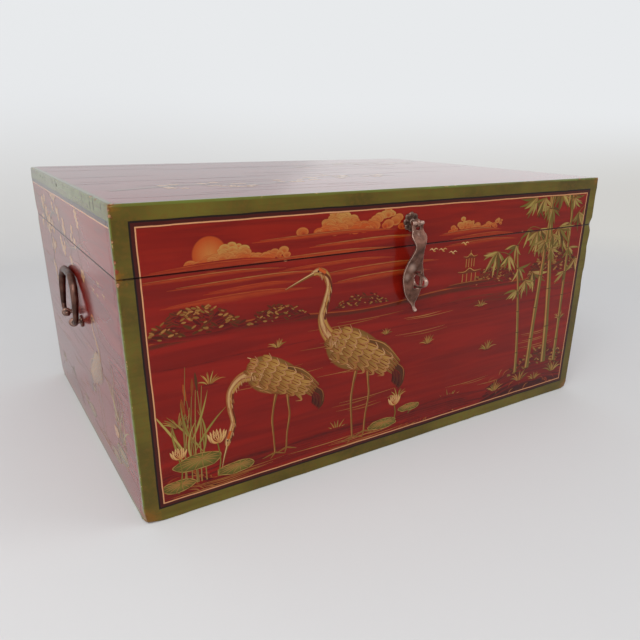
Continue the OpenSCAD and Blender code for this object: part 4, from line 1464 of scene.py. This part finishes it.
craneLook = {
    "body": [(-25, 86), (-21, 97), (-9, 101), (8, 96), (25, 84), (39, 68), (45, 57), (36, 54), (20, 57),
             (3, 61),
             (-11, 66), (-21, 75)],
    "neck": {
        "tall": [(-14, 88, 15), (-24, 99, 11), (-28, 111, 8), (-25, 123, 6.4), (-22, 135, 5.8),
                 (-25, 144, 6.6),
                 (-31, 147.5, 6.6), (-36.5, 146, 3.2)],
        "low": [(-12, 84, 15), (-28, 84, 10.5), (-39, 73, 7.8), (-40, 58, 6.2), (-38, 45, 5.7),
                (-41, 34, 6.4),
                (-44, 27, 6.4), (-45, 21.5, 3.2)],
        "back": [(-14, 90, 15), (-19, 102, 11), (-12, 113, 8.2), (-3, 121, 6.6), (-1, 131, 6), (-7, 138, 6.6),
                 (-13, 138.5, 6.4), (-18, 135, 3.2)],
    },
    "beak": {"tall": [(-35.5, 146.4, 2.9), (-47, 142, 1.8), (-59, 137, 0.4)],
             "low": [(-45, 22.5, 2.9), (-48.5, 11, 1.8), (-51, 0, 0.4)],
             "back": [(-17, 136, 2.9), (-27, 129.5, 1.8), (-36, 122, 0.4)]},
    "legs": [[(5, 63, 4.4), (2, 50, 2.6), (0, 35, 2.4), (1, 18, 2), (2, 1, 2)],
             [(16, 60, 4.2), (17, 48, 2.4), (18, 36, 2.3), (15, 18, 2), (14, 3, 2)]],
    "toes": [(2, 1, -11, -2), (2, 1, 13, -3), (2, 1, -3, -4.5), (14, 3, 4, 0), (14, 3, 25, -1),
             (14, 3, 12, -3)],
}


def crane(sheet, u, v, size, pose, facing=1):
    # Wading bird, built up from dark underpaint to light feather edges
    look = craneLook

    def at(x, y, w=None):
        return (u + x * size * facing, v + y * size) if w is None else (u + x * size * facing, v + y * size,
                                                                        w * size)

    for x0, y0, x1, y1 in look["toes"]:
        stroke(sheet, [at(x0, y0, 1.9), at((x0 + x1) / 2, (y0 + y1) / 2, 1.5), at(x1, y1, 0.5)],
               mixed("umber", "ochre", 0.6), 1, 0.3)
    for leg in look["legs"]:
        stroke(sheet, [at(*p) for p in leg], mixed("umber", "ochre", 0.35), 1, 0.25)
        stroke(sheet, [at(x - 0.5, y, w * 0.35) for x, y, w in leg], paintLook["gold"], 0.8, 0.5, 0.4)
    for k in range(9):
        x = 18 + k * 2.3
        stroke(sheet, [at(x - 4, 84 - k * 2.6, 6), at(x + 15, 72 - k * 2.5, 6.5),
                       at(x + 25 - k, 53 - k * 1.6, 4),
                       at(x + 24 - k * 1.4, 42 - k, 0.6)], mixed("dark", "umber", (k % 3) * 0.35), 1, 0.25,
                       0.15)
        stroke(sheet, [at(x + 2, 84 - k * 2.6, 0.3), at(x + 17, 73 - k * 2.5, 0.9),
                       at(x + 26 - k, 54 - k * 1.6, 0.3)],
               mixed("ochre", "gold", 0.4), 0.7, 0.5, 0.4)
    patch(sheet, [at(*p) for p in look["body"]], at(-2, 84), mixed("umber", "ochre", 0.5),
          mixed("gold", "cream", 0.3))
    neck = [at(*p) for p in look["neck"][pose]]
    stroke(sheet, neck, mixed("ochre", "gold", 0.55), 1, 0.3, 0.05)
    stroke(sheet, [(x - 0.9 * facing * size, y + 0.8 * size, w * 0.5) for x, y, w in neck],
           mixed("gold", "cream", 0.65), 0.9, 0.7, 0.35)
    stroke(sheet, [(x + 2.2 * facing * size, y - 1.5 * size, w * 0.3) for x, y, w in neck[2:-1]],
           paintLook["umber"], 0.85, 0.6, 0.2)
    # Belly and breast in short strokes, long wing feathers, then rows of small ones from the rear forward
    for i in range(80):
        share = rng.random()
        x = -23 + 62 * share
        y = 68.5 - 10 * share + max(0, 9 - 40 * share) + rng.random() * (27 - 16 * share)
        length = rng.uniform(4, 9)
        paint = mixed("ochre", "cream", min(1, max(0, (y - 58 + 12 * share) / 34 + rng.uniform(-0.25, 0.25))))
        stroke(sheet, [at(x, y, 0.5), at(x + length * 0.5, y - length * 0.26, 1.2),
                       at(x + length, y - length * 0.6, 0.2)],
               paint, 0.85, 0.5, 0.2, steps=3)
    for k in range(6):
        feather = [at(4 + k, 76 + k * 2.2, 3), at(22 + k * 2, 66 + k * 2.4, 5),
                   at(42 + k * 1.6, 50 + k * 1.9, 0.8)]
        stroke(sheet, feather, mixed("dark", "umber", 0.4 + k * 0.1), 1, 0.2, 0.05,
               mixed("umber", "ochre", 0.6), 4)
        stroke(sheet, [(a, b + 1.2 * size, w * 0.2) for a, b, w in feather], paintLook["gold"], 0.8, 0.5, 0.2,
               None, 4)
    for row in range(7):
        s = 0.72 - row * 0.145
        thick = (13 * (1 - s) ** 0.5 + 1) * (1.0 if row < 6 else 0.5)
        long = 17 - row * 1.5
        for k in range(-2, 3):
            x = -14 + 52 * s + 0.545 * k * thick * 0.41 + rng.uniform(-1, 1)
            y = 90 - 33 * s + 0.839 * k * thick * 0.41 + rng.uniform(-0.8, 0.8)
            wide = thick * rng.uniform(0.5, 0.64)
            turn = math.radians(-35 + 3 * k + rng.uniform(-6, 6))
            tip = (x + long * math.cos(turn), y + long * math.sin(turn))
            stroke(sheet, [at(x, y, wide * 0.5), at(x + long * 0.45, y - long * 0.3, wide),
                           at(*tip, wide * 0.35)],
                   mixed("umber", "ochre", 0.65 + 0.15 * k), 1, 0.2, 0.1,
                   mixed("ochre", "gold", 0.6 + 0.15 * k), 3)
            rim = [at(tip[0] - 5.4 - 0.27 * wide, tip[1] + 2.6 - 0.42 * wide, 0.3), at(*tip, 1.25),
                   at(tip[0] - 4.2 + 0.27 * wide, tip[1] + 3.6 + 0.42 * wide, 0.4)]
            stroke(sheet, rim, mixed("gold", "cream", 0.5 + 0.2 * k), rng.uniform(0.45, 0.85), 0.6, 0.3, None,
                   4)
            stroke(sheet, [at(x, y, 0.3), at(tip[0] - 2, tip[1] + 1.2, 0.8)], paintLook["umber"], 0.55, 0.5,
                   0.2, None, 2)
    for i in range(34):
        spot = neck[min(len(neck) - 3, int(rng.random() ** 1.4 * 6))]
        nextSpot = neck[min(len(neck) - 1, neck.index(spot) + 1)]
        share = rng.random()
        x, y = (spot[k] + (nextSpot[k] - spot[k]) * share for k in (0, 1))
        off = rng.uniform(-0.3, 0.3) * spot[2]
        stroke(sheet, [(x + off, y, 0.3), (x + off + 0.6, y - 2.4 * size, 0.9 * size),
                       (x + off + 1, y - 5 * size, 0.2)],
               mixed("ochre", "cream", rng.random()), 0.75, 0.5, 0.2, steps=3)
    head = neck[-2]
    stroke(sheet, [at(*p) for p in look["beak"][pose]], mixed("umber", "ochre", 0.5), 1, 0.25)
    stroke(sheet, [(p[0], p[1] + 0.5 * size, p[2] * 0.4) for p in (at(*q) for q in look["beak"][pose])],
           paintLook["cream"], 0.8, 0.4)
    crown = (neck[-3], head)
    stroke(sheet, [(a, b + 1.9 * size, w * 0.42) for a, b, w in crown], paintLook["orange"], 1, 0.4, steps=4)
    stroke(sheet, [(head[0] - 1.1 * size, head[1] + 0.1, 1.5 * size),
                   (head[0] + 0.4 * size, head[1] + 0.2, 1.5 * size)],
           paintLook["dark"], 1, 0.4, steps=3)


def farShore(sheet):
    for k in range(7):
        washes(sheet, 160 - k * 3, 168 - k * 3, 2, ("umber", "shade"), 0.8, (2, 5))
    for heights, widths, paint, cover, dry in (
            ((172, 178, 171, 176, 172, 178), (5, 9, 5, 8, 6, 9), mixed("shade", "umber", 0.5), 0.9, 0.3),
            ((175, 182, 173, 179, 174, 182), (1, 2, 1, 2, 1, 2), mixed("ochre", "orange", 0.5), 0.7, 0.5)):
        places = (-282, -180, -60, 60, 180, 282)
        stroke(sheet, list(zip(places, heights, widths)), paint, cover, 0.7, dry)


def lake(sheet, low, high, gap, reach, wide):
    # Pairs of ripples at even heights
    for v in range(low, high, gap):
        ripples(sheet, rng.uniform(-reach, reach), v, wide, 2)


def shallows(sheet, u, wide):
    # Dark water that the birds stand in
    for k in range(7):
        x = u + rng.uniform(-0.2, 0.2) * wide
        stroke(sheet, [(x - wide * 0.4, 24 + k * 2.6, 1), (x, 26 + k * 2.6, 7),
                       (x + wide * 0.4, 23 + k * 2.4, 1)],
               mixed("shade", "dark", rng.random()), 0.75, 0.9, 0.5)


# Each row of a scene is a motif, then the values for each time that it is painted

frontScene = [
    (washes, (190, 272, 26, ("ember", "shade", "ember"), 0.3),
     (20, 190, 46, ("shade", "ember", "ember"), 0.32, (2, 8))),
    (sun, (-222, 246, 16)),
    (cloudBars, (-196, 240, 150, 5), (-70, 258, 190, 6), (88, 246, 130, 3)),
    (birds, (30, 226, 4, 6)),
    (farShore, ()),
    (woods, (-238, 177, 100, 26, 150), (-158, 177, 70, 16, 90), (-64, 177, 80, 13, 80),
     (128, 177, 90, 21, 120),
     (236, 177, 110, 32, 160)),
    (pavilion, (86, 181, 25)),
    (lake, (28, 165, 9, 250, 90)),
    (bank, (214, 20, 190, 50), (-268, 14, 110, 34), (40, 12, 120, 20)),
    (tuft, (-92, 40, 16), (-10, 60, 15), (30, 118, 13), (-230, 128, 14), (-160, 150, 10), (110, 150, 11),
     (70, 34, 19), (14, 28, 15), (128, 92, 15), (-262, 92, 16), (-30, 140, 9), (262, 110, 13)),
    (woods, (236, 44, 130, 34, 110)),
    (bamboo, (262, 50, 250, -8, 7, 30.0), (186, 48, 170, -24, 6, 30.0), (240, 52, 260, -34, 11, 30.0),
     (208, 50, 250, 10, 9, 30.0)),
    (tuft, (150, 30, 17), (196, 34, 20), (226, 30, 15), (262, 34, 20)),
    (shallows, (-168, 150), (-70, 190), (60, 150)),
    (ripples, (-196, 30, 80, 5), (-84, 30, 110, 6)),
    (crane, (-168, 36, 1.08, "low"), (-74, 27, 1.3, "tall")),
    (reeds, (-250, 30, 120, 9)),
    (lotusLeaf, (-246, 52, 46, 17), (-208, 34, 40, 13), (-266, 32, 34, 13), (-30, 32, 40, 12),
     (8, 44, 30, 9)),
    (blossom, (-226, 66, 15, 30), (-264, 60, 12, 30), (-14, 52, 13, 30)),
    (ripples, (-236, 27, 90, 4), (-20, 26, 90, 3)),
]


def endScene(turn):
    # The right end, with turn -1, mirrors the left one
    return [
        (washes, (190, 272, 16, ("ember", "orange"), 0.42),
         (20, 190, 28, ("shade", "dark", "ember"), 0.5, (2, 7))),
        (plum, ([(turn * u, v) for u, v in ((-196, 262), (-120, 240), (-60, 252), (10, 226), (84, 240))], 9,
                16),
         ([(turn * u, v) for u, v in ((-150, 248), (-110, 214), (-118, 180))], 5, 7)),
        (birds, (turn * 110, 206, 4, 6)),
        (lake, (30, 150, 12, 150, 80)),
        (bank, (turn * -120, 20, 150, 26)),
        (tuft, *((turn * u, v, size) for u, v, size in (
            (-160, 36, 18), (-96, 40, 16), (-20, 30, 15), (150, 34, 17), (40, 70, 13), (-150, 96, 12)))),
        (crane, (turn * 78, 30, 1.0, "back", -turn)),
        (ripples, (turn * 84, 31, 110, 5)),
        (reeds, (turn * 158, 32, 120, 9)),
        (lotusLeaf, *((turn * u, v, wide, tall) for u, v, wide, tall in (
            (150, 44, 44, 15), (120, 30, 36, 11), (10, 34, 38, 12)))),
        (blossom, (turn * 136, 58, 13, 30)),
    ]


backScene = [
    (washes, (190, 272, 22, ("ember", "orange"), 0.4), (20, 190, 34, ("shade", "dark", "ember"), 0.5,
                                                        (2, 7))),
    (cloudBars, (-20, 256, 150, 4)),
    (bank, (-190, 20, 170, 28), (200, 20, 150, 26)),
    (lake, (30, 170, 11, 200, 90)),
    (bamboo, (-232, 40, 250, 16, 8), (-200, 38, 220, -14, 6.5)),
    (tuft, (-250, 34, 18), (-180, 36, 17), (-90, 30, 14), (0, 60, 13), (80, 34, 15), (160, 40, 18),
     (240, 36, 17)),
    (reeds, (226, 30, 130, 11, 24)),
    (lotusLeaf, (110, 40, 46, 15), (150, 30, 38, 12), (60, 30, 36, 11)),
    (blossom, (128, 60, 15, 30)),
    (birds, (60, 206, 5, 7)),
]

topScene = [
    (washes, (-185, 185, 26, ("ember", "shade"), 0.4)),
    (plum, ([(-278, -120), (-190, -96), (-110, -110), (-20, -70), (70, -84)], 10, 16),
     ([(278, 130), (200, 96), (120, 118), (30, 88)], 9, 13)),
]


def paintScene(sheet, scene):
    for motif, *rows in scene:
        for values in rows:
            motif(sheet, *values)


def makePaintMaterial():
    material, tree, shader, place = newMaterial("Painted strokes")
    paint, brush, touch = (addNode(tree, "ShaderNodeAttribute", attribute_name=name).outputs
                           for name in ("paint", "brush", "touch"))
    lacquer = useGroup(tree, lacquerGroup, Place=place)
    across, along, width = split(tree, brush["Vector"])
    soft, dry = split(tree, touch["Vector"])[:2]
    bristles = addNode(tree, "ShaderNodeCombineXYZ", {
        0: times(tree, along, 0.07), 1: times(tree, times(tree, across, width), 0.8)})
    hairs = cloud(tree, bristles.outputs[0], 1.0, detail=3, roughness=0.6)
    edge = plus(tree, absolute(tree, across), timesPlus(tree, hairs, 0.3, -0.15))
    body = calc(tree, "DIVIDE", minus(tree, 1.0, edge), soft, clamp=True)
    body = times(tree, body, minus(tree, 1.0, times(tree, dry, step(tree, hairs, 0.4, 0.62))))
    body = times(tree, body, paint["Alpha"])
    tone = timesPlus(tree, hairs, 0.5, 0.75)
    colour = vectorCalc(tree, "MULTIPLY", paint["Color"], scaled(tree, (1, 1, 1), tone))
    feed(tree, shader.inputs["Base Color"], blend(tree, body, lacquer["Colour"], colour))
    feed(tree, shader.inputs["Roughness"], lacquer["Roughness"])
    feed(tree, shader.inputs["Coat Weight"], lacquer["Varnish"])
    finishVarnish(shader)
    height = timesPlus(tree, body, 0.006, lacquer["Height"])
    feed(tree, shader.inputs["Normal"], bump(tree, height, 0.6))
    return material


def cutSheet(sheet, low, high):
    # Keeps what lies inside the pinstripe between two heights, as a BMesh in the chest's place
    mesh = bpy.data.meshes.new(sheet["name"])
    mesh.from_pydata(sheet["verts"], [], sheet["faces"])
    for name, kind, field in (("paint", "FLOAT_COLOR", "color"), ("brush", "FLOAT_VECTOR", "vector"),
                              ("touch", "FLOAT_VECTOR", "vector")):
        layer = mesh.attributes.new(name, kind, "POINT")
        layer.data.foreach_set(field, [number for values in sheet[name] for number in values])
    bm = bmesh.new()
    bm.from_mesh(mesh)
    wide = sheet["wide"]
    for spot, way in (((-wide, 0, 0), (-1, 0, 0)), ((wide, 0, 0), (1, 0, 0)), ((0, low, 0), (0, -1, 0)),
                      ((0, high, 0), (0, 1, 0))):
        bmesh.ops.bisect_plane(bm, geom=bm.verts[:] + bm.edges[:] + bm.faces[:], plane_co=spot, plane_no=way,
                               clear_outer=True)
    bm.transform(sheet["matrix"])
    for face in bm.faces:
        face.normal_update()
        if face.normal.dot(sheet["matrix"].to_3x3() @ Vector((0, 0, 1))) < 0:
            face.normal_flip()
    part = meshFrom(bm, sheet["name"])
    bpy.data.meshes.remove(mesh)
    return part


def faceMatrix(right, up, out, place):
    turn = Matrix((right, up, out)).transposed().to_4x4()
    return Matrix.Scale(mm, 4) @ Matrix.Translation(place) @ turn


def makePainting():
    look = paintLook
    z = Vector((0, 0, 1))
    x = Vector((1, 0, 0))
    y = Vector((0, 1, 0))
    inset = look["inset"]
    sheets = []
    for name, scene, right, up, out, place, wide, seed in (
            ("front", frontScene, x, z, -y, (0, -halfDepth, 0), halfWidth, 5),
            ("left", endScene(1), -y, z, -x, (-halfWidth, 0, 0), halfDepth, 8),
            ("right", endScene(-1), y, z, x, (halfWidth, 0, 0), halfDepth, 11),
            ("back", backScene, -x, z, y, (0, halfDepth, 0), halfWidth, 14),
            ("top", topScene, x, y, z, (0, 0, chestHeight - boardLook["topDrop"]), halfWidth, 17)):
        side = inset if name in ("front", "back") else look["narrowInset"]
        high = chestHeight - inset if name != "top" else halfDepth - side
        low = side if name != "top" else -high
        sheet = newSheet(name, faceMatrix(right, up, out, place), wide - side, low, high)
        rng.seed(seed)
        paintScene(sheet, scene)
        print("layers of paint on the", name, max(sheet["levels"].values()))
        sheets.append(sheet)
    seamLow, seamHigh = seamHeight - look["beside"], seamHeight + look["beside"]
    for body in ("case", "lid"):
        bm = bmesh.new()
        for sheet in sheets:
            low, high = sheet["low"], sheet["high"]
            if sheet["name"] != "top":
                low, high = (low, seamLow) if body == "case" else (seamHigh, high)
            elif body == "case":
                continue
            bm.from_mesh(cutSheet(sheet, low, high))
        addPiece(body + "-painting", meshFrom(bm, body + "-painting"), paintedStrokes, body)


paintedStrokes = makePaintMaterial()
makePainting()
print("painting made")


# Stage, lights and camera

stageLook = {
    "floor": srgb("#d9d8d7"),
    "wall": srgb("#e8eaec"),
    "low": srgb("#d2d1ce"),
    "wallAt": 1.5,       # metres behind the chest
    "curve": 0.5,
    "reach": 9.0,        # to the sides and to the front
    "height": 5.0,
    "ownFrom": (0.8, 1.7),   # metres over which the sweep takes its own colour
    "paleFrom": (4.5, 8.0),  # metres over which its ends take that of the wall
}


def makeStage():
    look = stageLook
    bm = bmesh.new()
    line = [(-look["reach"], 0.0), (look["wallAt"] - look["curve"], 0.0)]
    for i in range(1, 17):
        angle = math.radians(90 * i / 16)
        line.append((look["wallAt"] - look["curve"] * (1 - math.sin(angle)),
                     look["curve"] * (1 - math.cos(angle))))
    line.append((look["wallAt"], look["height"]))
    rows = [[bm.verts.new((x, y, z)) for x in (-look["reach"], look["reach"])] for y, z in line]
    for near, far in zip(rows, rows[1:]):
        bm.faces.new((near[0], near[1], far[1], far[0]))
    mesh = meshFrom(bm, "sweep")
    smoothShade(mesh)
    material, tree, shader, place = newMaterial("Pale backdrop")
    height = split(tree, place)[2]
    # Painted shade of cloth folds: faint grey noise over the floor and wall
    foldShade = cloud(tree, vectorCalc(tree, "MULTIPLY", place, (1.0, 1.0, 0.6)), 3.0, detail=4)
    colour = blend(tree, step(tree, height, 0.0, 0.9), look["floor"], look["wall"])
    feed(tree, shader.inputs["Base Color"],
         blend(tree, times(tree, foldShade, 0.06), colour, (0.45, 0.45, 0.46, 1)))
    shader.inputs["Roughness"].default_value = 0.9
    shader.inputs["Specular IOR Level"].default_value = 0.1
    # Far from the chest the sweep shows its own pale colour, and at its ends that of the room
    distance = vectorCalc(tree, "LENGTH", place)
    pale = most(tree, step(tree, height, 0.0, 0.45), step(tree, distance, *look["paleFrom"]))
    glow = tree.nodes.new("ShaderNodeEmission")
    feed(tree, glow.inputs["Color"], blend(tree, pale, look["low"], look["wall"]))
    glossy = tree.nodes.new("ShaderNodeLightPath").outputs["Is Glossy Ray"]
    feed(tree, glow.inputs["Strength"], timesPlus(tree, glossy, -0.15, 1.0))
    rays = tree.nodes.new("ShaderNodeLightPath")
    seen = plus(tree, rays.outputs["Is Camera Ray"], rays.outputs["Is Glossy Ray"])
    seen = calc(tree, "ADD", seen, rays.outputs["Is Transmission Ray"], clamp=True)
    far = step(tree, distance, *look["ownFrom"])
    mix = tree.nodes.new("ShaderNodeMixShader")
    feed(tree, mix.inputs[0], times(tree, seen, far))
    tree.links.new(shader.outputs[0], mix.inputs[1])
    tree.links.new(glow.outputs[0], mix.inputs[2])
    tree.links.new(mix.outputs[0], tree.nodes["Material Output"].inputs[0])
    mesh.materials.append(material)
    stage = bpy.data.objects.new("backdrop", mesh)
    bpy.context.scene.collection.objects.link(stage)


worldLook = {
    "colour": (0.94, 0.96, 1.0, 1),
    "strength": 0.55,
    "seen": 0.305,  # added for the camera alone, so the room matches the wall
}


def makeWorld():
    look = worldLook
    world = bpy.data.worlds.new("Soft room")
    bpy.context.scene.world = world
    world.use_nodes = True
    tree = world.node_tree
    background = tree.nodes["Background"]
    background.inputs["Color"].default_value = look["colour"]
    seen = tree.nodes.new("ShaderNodeLightPath").outputs["Is Camera Ray"]
    feed(tree, background.inputs["Strength"], timesPlus(tree, seen, look["seen"], look["strength"]))


lampLook = {
    # place, what it aims at, width and height in metres, and power
    "key": ((-1.1, -1.3, 1.7), (0, 0, 0.1), (1.4, 1.0), 24.5),
    "window": ((0.7, 1.3, 0.95), (0.0, 0, 0.29), (2.8, 1.4), 3),
    "side card": ((-0.75, 0.42, 0.3), (-0.3, -0.1, 0.1), (1.0, 0.6), 0.35),
    "left fill": ((-1.7, -0.2, 0.7), (-0.3, 0, 0.1), (1.2, 1.2), 6.6),
    "fill": ((1.6, -1.2, 1.2), (0, 0, 0.1), (1.4, 1.4), 9),
}


def addLamp(name, place, aim, size, power):
    data = bpy.data.lights.new(name, "AREA")
    data.shape = "RECTANGLE"
    data.size, data.size_y = size
    data.energy = power
    lamp = bpy.data.objects.new(name, data)
    turn = (Vector(aim) - Vector(place)).to_track_quat("-Z", "Y").to_matrix().to_4x4()
    lamp.matrix_world = Matrix.Translation(place) @ turn
    lamp.visible_camera = False
    lamp.visible_diffuse = name != "side card"  # the card is seen only in gloss
    bpy.context.scene.collection.objects.link(lamp)


cameraLook = {
    "place": (-0.40196, -0.69033, 0.35244),
    "turn": -33.378,     # degrees about Z
    "tip": 90 - 20.678,  # degrees from straight down
    "roll": 0.93,
    "lens": 33.53,
    "shift": (-0.0338, 0.0423),
}


def addCamera():
    look = cameraLook
    data = bpy.data.cameras.new("Camera")
    data.lens = look["lens"]
    data.shift_x, data.shift_y = look["shift"]
    data.clip_start = 0.01
    camera = bpy.data.objects.new("Camera", data)
    camera.matrix_world = (Matrix.Translation(look["place"]) @ Matrix.Rotation(math.radians(look["turn"]), 4,
                                                                               "Z")
                           @ Matrix.Rotation(math.radians(look["tip"]), 4, "X")
                           @ Matrix.Rotation(math.radians(look["roll"]), 4, "Z"))
    bpy.context.scene.collection.objects.link(camera)
    bpy.context.scene.camera = camera


makeStage()
makeWorld()
for lampName, lampValues in lampLook.items():
    addLamp(lampName, *lampValues)
addCamera()
bpy.context.scene.view_settings.view_transform = "Standard"
